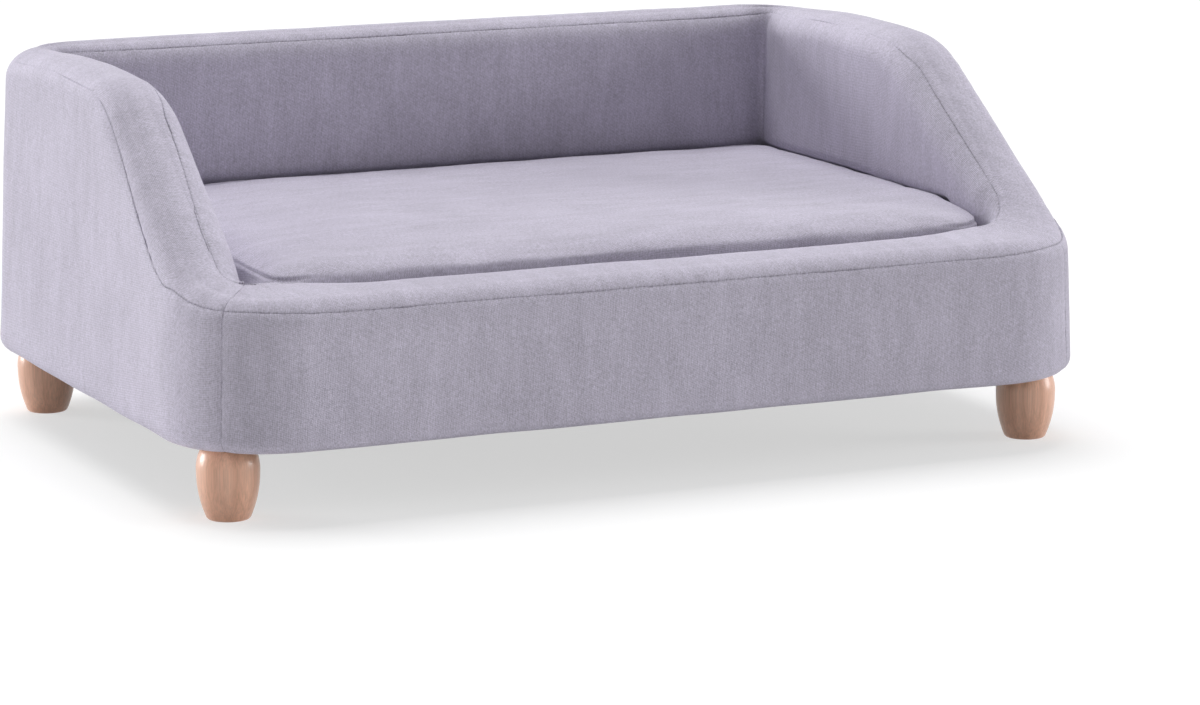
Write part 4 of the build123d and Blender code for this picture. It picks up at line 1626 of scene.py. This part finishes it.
@dataclass
class LooseCushion:
    """The loose seat cushion: two panels, a border with a zip behind, and a foam core."""

    left_corner: float = 0.030
    right_corner: float = 0.052
    rear_corner: float = 0.034
    side_draw: float = 0.006
    right_draw: float = -0.001
    front_draw: float = 0.003
    rear_flat: float = 0.2670
    rear_flat_fade: Fade = (0.285, 0.355)
    zip_reach: float = 0.262
    zip_height: float = 0.0042
    zip_behind: float = 0.255
    zip_rows: tuple[float, ...] = (0.0038, 0.0046, 0.0054)
    top_round: float = 0.010
    top_angles: tuple[float, ...] = (90.0, 76.0, 62.0, 48.0, 34.0, 20.0, 8.0)
    top_rows: int = 46
    bottom_round: float = 0.007
    bottom_angles: tuple[float, ...] = (20.0, 45.0, 70.0, 90.0)
    bottom_rows: int = 26
    border_rows: int = 12
    border_bulge: float = 0.0012
    corner_bulge: float = 0.010
    corner_bulge_fade: Fade = (0.01, 0.09)
    crown: float = 0.011
    crown_power: float = 3.4
    fullness: float = 0.9
    full_fade: Fade = (-0.20, 0.02)
    right_fade: Fade = (0.30, 0.40)
    right_shift: float = 0.04
    right_span: float = 0.11
    left_fade: float = 0.16
    clearance: float = 0.0002
    pull: float = 0.0011
    pull_reach: float = 0.0030
    ridge: float = 0.0006
    ridge_place: float = 0.0034
    ridge_width: float = 0.0022
    pucker: float = 0.00045
    pucker_length: float = 0.012
    pucker_reach: float = 0.010
    long_wave: float = 0.0011
    long_wave_ahead: float = 0.0012
    long_wavelength: float = 0.13
    short_wave: float = 0.0003
    short_wave_ahead: float = 0.0004
    short_wavelength: float = 0.05
    ahead_fade: Fade = (-0.05, -0.015)
    ahead_middle: float = 0.01
    ahead_side_fade: Fade = (0.30, 0.36)
    ahead_slack: float = 0.006
    firm_fade: Fade = (0.215, 0.255)
    flat_fade: Fade = (0.235, 0.262)
    tape_depth: float = 0.0006
    core_inset: float = 0.0016
    core_start: float = 0.0014
    spacing: float = 0.0038
    outline_steps: int = 8000
    voxel: float = 0.006
    cap: float = 0.006
    pressure: float = 4.0
    tension: float = 40.0
    bending: float = 1.5
    quality: int = 5
    frames: int = 20
    low: Vector = field(default_factory=lambda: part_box("cushion_cover")[0])
    high: Vector = field(default_factory=lambda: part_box("cushion_cover")[1])

    @property
    def zip_middle(self) -> float:
        """Height of the zip's middle."""
        return sum(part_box("zip_coil"), Vector()).z / 2.0

    def outline(self) -> tuple[np.ndarray, np.ndarray]:
        """Plan outline, with its sides drawn in between the corners and its rear flat at the zip.

        Returns:
            Points, counter-clockwise, and outward directions.
        """
        radii = np.array([self.rear_corner, self.rear_corner, self.left_corner, self.right_corner])
        left, right, front, rear = self.low.x, self.high.x, self.low.y, self.high.y
        corners = np.array([[right, rear], [left, rear], [left, front], [right, front]])
        turns = np.linspace(0.0, ROUND, self.outline_steps, endpoint=False)
        points = rounded(turns, corners - SIGNS * radii[:, None], radii[:, None])
        side, along, on_arc, facing = round_places(turns)
        draws = np.array([self.right_draw, 0.0, self.side_draw, self.front_draw])
        drawn = np.where(on_arc, 0.0, draws[side] * np.sin(math.pi * along[:, 0]) ** 2)
        points = points - facing * drawn[:, None]
        flat = 1.0 - smooth_step(np.abs(points[:, 0] - (left + right) / 2.0), *self.rear_flat_fade)
        straight = (side == 1) & ~on_arc
        points[:, 1] = np.where(straight, rear - (rear - self.rear_flat) * flat, points[:, 1])
        return spaced(points, facing, self.spacing)

    def sections(self) -> tuple[np.ndarray, int, int]:
        """The cushion's closed skin as rows from the top's middle, over the border, to the bottom's.

        A row at a share s of the way out over the top stands c (1 - s^p) above the top's edge, with
        c the crown, plus a lift times s^p where the border is full.

        Returns:
            Points with rows first, and the rows of the upper and the lower seam.
        """
        outline, facing = self.outline()
        middle = plan_middle(self.low, self.high)
        edge, bottom = self.high.z - self.crown, self.low.z + self.clearance
        rim = outline - facing * self.top_round
        right = smooth_step(outline[:, 0], *self.right_fade)
        start, end = self.full_fade
        ahead = outline[:, 1] + self.right_shift * right
        full = smooth_step(ahead, start, end - self.right_span * right)
        full = full * smooth_step(outline[:, 0], self.low.x, self.low.x + self.left_fade)
        lift = self.crown * self.fullness * full
        rows = []
        for share in np.linspace(0.0, 1.0, self.top_rows)[1:-1]:
            risen = share**self.crown_power
            height = edge + lift * risen + self.crown * (1.0 - risen)
            rows.append(at_height(middle + (rim - middle) * share, height))
        for angle in np.radians(self.top_angles):
            flat = outline - facing * self.top_round * (1.0 - math.cos(angle))
            settled = (1.0 - math.sin(angle)) * (self.top_round + lift)
            rows.append(at_height(flat, edge + lift - settled))
        upper = len(rows) - 4
        start, end = edge - self.top_round, bottom + self.bottom_round
        corner = np.hypot(outline[:, 0] - self.low.x, outline[:, 1] - self.low.y)
        bulge = self.corner_bulge * (1.0 - smooth_step(corner, *self.corner_bulge_fade))
        bulge = bulge + self.border_bulge
        zip_rows = self.zip_middle + np.array([*(-row for row in self.zip_rows), *self.zip_rows])
        heights = np.concatenate([np.linspace(end, start, self.border_rows), zip_rows])
        for height in np.sort(heights)[::-1]:
            share = (height - end) / (start - end)
            flat = outline + facing * (bulge * math.sin(math.pi * share))[:, None]
            rows.append(at_height(flat, height))
        for angle in np.radians(self.bottom_angles):
            flat = outline - facing * self.bottom_round * (1.0 - math.cos(angle))
            rows.append(at_height(flat, end - self.bottom_round * math.sin(angle)))
        lower = len(rows) - 3
        base = outline - facing * self.bottom_round
        for share in np.linspace(1.0, 0.0, self.bottom_rows)[1:-1]:
            rows.append(at_height(middle + (base - middle) * share, bottom))
        return np.stack(rows), upper, lower

    def faces(self, rows: int, columns: int) -> list:
        """Quads between the rows, and one closing face at each middle."""
        faces = grid_faces(rows, columns, closed_columns=True)[:, ::-1].tolist()
        return [list(range(columns)), *faces, list(range((rows - 1) * columns, rows * columns))[::-1]]

    def swollen(self, points: np.ndarray, faces: list) -> np.ndarray:
        """Points after the cover has been stuffed: a cloth simulation under pressure.

        A slightly smaller copy is remeshed, blown up as cloth without gravity, and each point of
        the skin then moves to the nearest place on it.

        Args:
            points: The skin's points, rows first.
            faces: Its faces.

        Returns:
            The moved points.
        """
        scene = bpy.context.scene
        shell = make_piece("stuffing", points, faces, bpy.data.materials[0])
        remesh = shell.modifiers.new("remesh", "REMESH")
        remesh.mode = "VOXEL"
        remesh.voxel_size = self.voxel
        apply_modifiers(shell)
        start = vertex_places(shell)
        cloth = shell.modifiers.new("cloth", "CLOTH")
        cloth.settings.use_pressure = True
        cloth.settings.uniform_pressure_force = self.pressure
        cloth.settings.effector_weights.gravity = 0.0
        cloth.settings.tension_stiffness = self.tension
        cloth.settings.bending_stiffness = self.bending
        cloth.settings.quality = self.quality
        cloth.point_cache.frame_start = 1
        cloth.point_cache.frame_end = self.frames
        for step in range(1, self.frames + 1):
            scene.frame_set(step)
        apply_modifiers(shell)
        scene.frame_set(1)
        moved = vertex_places(shell) - start
        size = np.linalg.norm(moved, axis=1, keepdims=True)
        moved *= self.cap * np.tanh(size / self.cap) / np.maximum(size, 1e-9)
        shell.data.vertices.foreach_set("co", (start + moved).astype(np.float32).ravel())
        shell.modifiers.new("finer", "SUBSURF").levels = 1
        apply_modifiers(shell)
        skin = make_piece("skin", points, faces, bpy.data.materials[0])
        wrap = skin.modifiers.new("wrap", "SHRINKWRAP")
        wrap.target = shell
        wrap.wrap_method = "NEAREST_SURFACEPOINT"
        apply_modifiers(skin)
        result = vertex_places(skin).reshape(points.shape)
        bpy.data.objects.remove(skin)
        bpy.data.objects.remove(shell)
        return result

    def sewn(self, points: np.ndarray, normals: np.ndarray, nearest: np.ndarray) -> np.ndarray:
        """The skin once its seams pull on it: a ridge beside each seam, puckers and unevenness.

        Args:
            points: The skin's points, rows first.
            normals: Their outward directions.
            nearest: Their distances to the nearest seam.

        Returns:
            The moved points.
        """
        plain = self.plain(points)
        near = np.exp(-nearest / self.pull_reach)
        ridge = np.exp(-(((nearest - self.ridge_place) / self.ridge_width) ** 2))
        pucker = ripple(points, self.pucker_length, 3) * np.exp(-nearest / self.pucker_reach)
        long = self.long_wave + self.long_wave_ahead * plain
        short = self.short_wave + self.short_wave_ahead * plain
        uneven = ripple(points, self.long_wavelength, 4) * long
        uneven = uneven + ripple(points, self.short_wavelength, 6) * short
        loose = 1.0 - smooth_step(points[..., 1], *self.flat_fade)
        move = self.ridge * ridge - self.pull * near + self.pucker * pucker + uneven * loose
        return points + normals * move[..., None]

    def plain(self, points: np.ndarray) -> np.ndarray:
        """Where the seams hardly show, on the middle of the front.

        Args:
            points: The skin's points.

        Returns:
            0 to 1 for each point.
        """
        ahead = smooth_step(self.low.y - points[..., 1], *self.ahead_fade)
        aside = np.abs(points[..., 0] - self.ahead_middle)
        return ahead * (1.0 - smooth_step(aside, *self.ahead_side_fade))

    def build(self, velvet: bpy.types.Material, foam: bpy.types.Material) -> None:
        """Make the cushion's cover and its foam core.

        Args:
            velvet: The cover's cloth.
            foam: The core's foam.
        """
        points, upper, lower = self.sections()
        rows, columns = points.shape[:2]
        faces = self.faces(rows, columns)
        firm = smooth_step(points[..., 1], *self.firm_fade)[..., None]
        points = points * firm + self.swollen(points, faces) * (1.0 - firm)
        across = travelled(points, 0)
        along = np.broadcast_to(travelled(points[upper : upper + 1], 1), across.shape)
        nearest = np.minimum(*(np.abs(across - across[row]) for row in (upper, lower)))
        nearest = nearest + self.ahead_slack * self.plain(points)
        normals = grid_normals(points)
        if normals[0, :, 2].mean() < 0.0:
            normals = -normals
        points = self.sewn(points, normals, nearest)
        middle_x, _ = plan_middle(self.low, self.high)
        opening = points[..., 1] > self.zip_behind
        opening &= np.abs(points[..., 0] - middle_x) < self.zip_reach
        opening &= np.abs(points[..., 2] - self.zip_middle) < self.zip_height
        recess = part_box("zip_tape")[0].y - self.tape_depth
        points[..., 1] = np.where(opening, recess, points[..., 1])
        points[..., 2] = np.maximum(points[..., 2], self.low.z + self.clearance / 2.0)
        row_of = np.repeat(np.arange(rows - 1), columns)
        planar = points[..., :2].reshape(-1, 2)
        band = np.stack([along, across], axis=-1).reshape(-1, 2)
        quads = np.array(faces[1:-1])
        side = ((row_of >= upper - 2) & (row_of < lower))[:, None, None]
        weave = np.where(side, band[quads], planar[quads]).reshape(-1, 2)
        weave = np.concatenate([planar[faces[0]], weave, planar[faces[-1]]])
        seam = np.stack([along, nearest], axis=-1).reshape(-1, 2)
        piece = make_piece("cushion_case", points, faces, velvet, {WEAVE_MAP: weave, SEAM_MAP: seam})
        finish_piece(piece, "cushion", "cushion_velvet", "cushion_cover")
        core = points - normals * self.core_inset
        core[..., 2] = np.maximum(core[..., 2], self.low.z + self.core_start)
        piece = make_piece("cushion_core", core, faces, foam)
        finish_piece(piece, "cushion", "foam", "cushion_foam")


def vertex_places(piece: bpy.types.Object) -> np.ndarray:
    """Places of a mesh's points.

    Args:
        piece: An object with a mesh.

    Returns:
        The points, with x, y and z last.
    """
    places = np.zeros(len(piece.data.vertices) * 3, np.float32)
    piece.data.vertices.foreach_get("co", places)
    return places.reshape(-1, 3).astype(float)


def apply_modifiers(piece: bpy.types.Object) -> None:
    """Replace a piece's mesh by what its modifiers make of it.

    Args:
        piece: The piece, which keeps its place and has no modifiers afterwards.
    """
    seen = piece.evaluated_get(bpy.context.evaluated_depsgraph_get())
    mesh = bpy.data.meshes.new_from_object(seen)
    piece.modifiers.clear()
    piece.data = mesh


@dataclass
class Zip:
    """The coil of the cushion's zip; its tapes, slider and pull are the construction's own."""

    pitch: float = 0.0013
    around: int = 6
    along: tuple[float, ...] = (-0.5, -0.42, 0.0, 0.42, 0.5)
    swell: tuple[float, ...] = (0.3, 0.85, 1.0, 0.85, 0.3)
    half_width: float = 0.46
    half_depth: float = 0.49

    def build(self, plastic: bpy.types.Material) -> None:
        """Make the coil's teeth as one row of squashed beads across the zip.

        Args:
            plastic: Their finish.
        """
        low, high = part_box("zip_coil")
        middles = np.arange(low.x + self.pitch, high.x - self.pitch, self.pitch)
        turn = np.linspace(0.0, 2.0 * math.pi, self.around + 1)[:-1]
        swell = np.array(self.swell)[:, None]
        flat_x = np.cos(turn) * swell * self.pitch * self.half_width
        flat_y = np.sin(turn) * swell * (high.y - low.y) * self.half_depth + (low.y + high.y) / 2.0
        height = np.array(self.along)[:, None] * (high.z - low.z) + (low.z + high.z) / 2.0
        tooth = at_height(np.stack([flat_x, flat_y], axis=-1), height)
        points = np.repeat(tooth[None], len(middles), axis=0)
        points[..., 0] += middles[:, None, None]
        size = self.around * len(self.swell)
        faces = grid_faces(len(self.swell), self.around, closed_columns=True)
        starts = np.arange(len(middles))[:, None, None] * size
        ends = np.array([np.arange(self.around)[::-1], np.arange(size - self.around, size)])
        caps = (ends + starts).reshape(-1, self.around).tolist()
        quads = (faces + starts).reshape(-1, 4).tolist()
        piece = make_piece("zip_teeth", points, quads + caps, plastic)
        finish_piece(piece, "cushion", "zip_coil", "zip_coil")


@dataclass
class Joinery:
    """The construction's own wood and metal, with a finish for each start of a node's name."""

    finishes: dict[str, bpy.types.Material]

    def dress(self) -> None:
        """Give each shown construction node the first finish whose start its name has."""
        for name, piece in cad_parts.items():
            start = next(start for start in self.finishes if name.startswith(start))
            piece.data.materials.clear()
            piece.data.materials.append(self.finishes[start])
            log.info("%s: %s", name, self.finishes[start].name)


@dataclass
class Lamp:
    """A soft far light, set so that a surface facing it gains brightness times its colour."""

    name: str
    towards: tuple[float, float, float]
    brightness: float
    spread: float

    def hang(self) -> None:
        """Put the lamp into the scene."""
        light = bpy.data.lights.new(self.name, "SUN")
        light.energy = math.pi * self.brightness
        light.angle = math.radians(self.spread)
        lamp = bpy.data.objects.new(self.name, light)
        lamp.rotation_euler = Vector(self.towards).to_track_quat("Z", "Y").to_euler()
        bpy.context.scene.collection.objects.link(lamp)


@dataclass
class Studio:
    """The floor, the light and the camera."""

    camera_place: tuple[float, float, float] = (-1.8137, -4.0529, 0.9435)
    heading: float = 25.05
    dip: float = 11.03
    lens: float = 132.0
    shift: float = -0.0037
    sensor: float = 36.0
    sight: float = 100.0
    floor_tone: float = 0.82
    seen_floor_tone: float = 0.42
    floor_glow: float = 0.60
    floor_reach: float = 30.0
    sky: float = 0.21
    lamps: tuple[Lamp, ...] = (
        Lamp("top_light", (0.0, 0.30, 0.95), 0.76, 45.0),
        Lamp("left_light", (-0.72, 0.68, 0.12), 0.64, 25.0),
        Lamp("right_light", (0.92, -0.32, 0.18), 0.42, 25.0),
    )

    def lay_floor(self) -> None:
        """Make the pale floor."""
        bench = Bench("studio_floor", 0.9, Specular_IOR_Level=0.1)
        seen = seen_directly(bench.tree)
        tones = [(tone,) * 3 + (1.0,) for tone in (self.floor_tone, self.seen_floor_tone)]
        bench.finish(bench.mixed(seen, *tones))
        glow = bench.node("Emission", {"Strength": bench.maths("MULTIPLY", seen, self.floor_glow)})
        added = bench.node("AddShader", {0: bench.shader.outputs[0], 1: glow})
        bench.tree.links.new(added, bench.tree.nodes["Material Output"].inputs["Surface"])
        points = np.array([[-1.0, -1.0, 0.0], [1.0, -1.0, 0.0], [1.0, 1.0, 0.0], [-1.0, 1.0, 0.0]])
        points *= self.floor_reach
        floor = make_piece("floor", points, [[0, 1, 2, 3]], bench.material, smooth=False)

    def light(self) -> None:
        """Hang the lamps and set the sky, which the camera and gloss see as white."""
        world = bpy.data.worlds.new("studio")
        world.use_nodes = True
        bpy.context.scene.world = world
        tree = world.node_tree
        background = tree.nodes["Background"]
        background.inputs["Color"].default_value = (1.0, 1.0, 1.0, 1.0)
        sockets = {0: seen_directly(tree), 1: 1.0 - self.sky, 2: self.sky}
        strength = add_node(tree, "Math", sockets, operation="MULTIPLY_ADD")
        tree.links.new(strength, background.inputs["Strength"])
        for lamp in self.lamps:
            lamp.hang()

    def frame_picture(self) -> None:
        """Set up the camera at the photograph's angle."""
        turn, dip = math.radians(self.heading), math.radians(self.dip)
        level = math.cos(dip)
        forward = Vector((math.sin(turn) * level, math.cos(turn) * level, -math.sin(dip)))
        data = bpy.data.cameras.new("camera")
        data.lens = self.lens
        data.sensor_width = self.sensor
        data.shift_y = self.shift
        data.clip_end = self.sight
        camera = bpy.data.objects.new("camera", data)
        camera.location = self.camera_place
        camera.rotation_euler = forward.to_track_quat("-Z", "Y").to_euler()
        bpy.context.scene.collection.objects.link(camera)
        bpy.context.scene.camera = camera

    def build(self) -> None:
        """Set the whole studio up."""
        self.lay_floor()
        self.light()
        self.frame_picture()
        bpy.context.scene.view_settings.view_transform = "Standard"


def main() -> None:
    """Build the sofa's pieces in order, then the studio."""
    velvet = NapFabric("upholstery_nap").make()
    cushion_velvet = NapFabric("cushion_nap", streak=(14.0, 60.0)).make()
    foam = FoamStuff("pale_foam").make()
    plan = WallPlan()
    crest = Crest(plan)
    cover = SewnCover(plan, crest, Sewing())
    cover.build(velvet)
    WallFoam(plan, cover).build(foam)
    base = DeckAndBase()
    base.build_deck(PlainCloth("deck_cotton", (0.42, 0.41, 0.45), 0.0009).make())
    steel = Metal("zinc_plate", (0.62, 0.62, 0.60)).make()
    base.build_dust_cover(PlainCloth("black_nonwoven", (0.03, 0.03, 0.032), 0.0016).make(), steel)
    LooseCushion().build(cushion_velvet, foam)
    Zip().build(CoilPlastic("zip_nylon").make())
    plywood = SawnWood("ply_face", (0.66, 0.50, 0.33), (0.55, 0.40, 0.25), Grain.ALONG_X).make()
    pine_x, pine_y, pine_z = (
        SawnWood(name, (0.74, 0.57, 0.36), (0.60, 0.42, 0.25), grain).make()
        for name, grain in (
            ("pine_along_x", Grain.ALONG_X),
            ("pine_along_y", Grain.ALONG_Y),
            ("pine_upright", Grain.UPRIGHT),
        )
    )
    leg_colours = (0.96, 0.57, 0.40), (0.78, 0.43, 0.29)
    leg_wood = SawnWood("turned_leg_wood", *leg_colours, Grain.UPRIGHT, 0.42, 0.45).make()
    finishes = {
        "leg_bolts": steel,
        "leg_inserts": steel,
        "leg_": leg_wood,
        "board_screws": steel,
        "base_rail_left": pine_y,
        "base_rail_right": pine_y,
        "base_rail": pine_x,
        "block_": pine_z,
        "posts_": pine_z,
        "zip_tape": PlainCloth("zip_webbing", (0.42, 0.40, 0.47), 0.0007).make(),
        "zip_slider": Metal("zip_alloy", (0.50, 0.50, 0.50), 0.3).make(),
        "zip_pull": Metal("zip_pull_alloy", (0.52, 0.52, 0.52), 0.3).make(),
        "": plywood,
    }
    Joinery(finishes).dress()
    Studio().build()


if __name__ == "__main__":
    main()
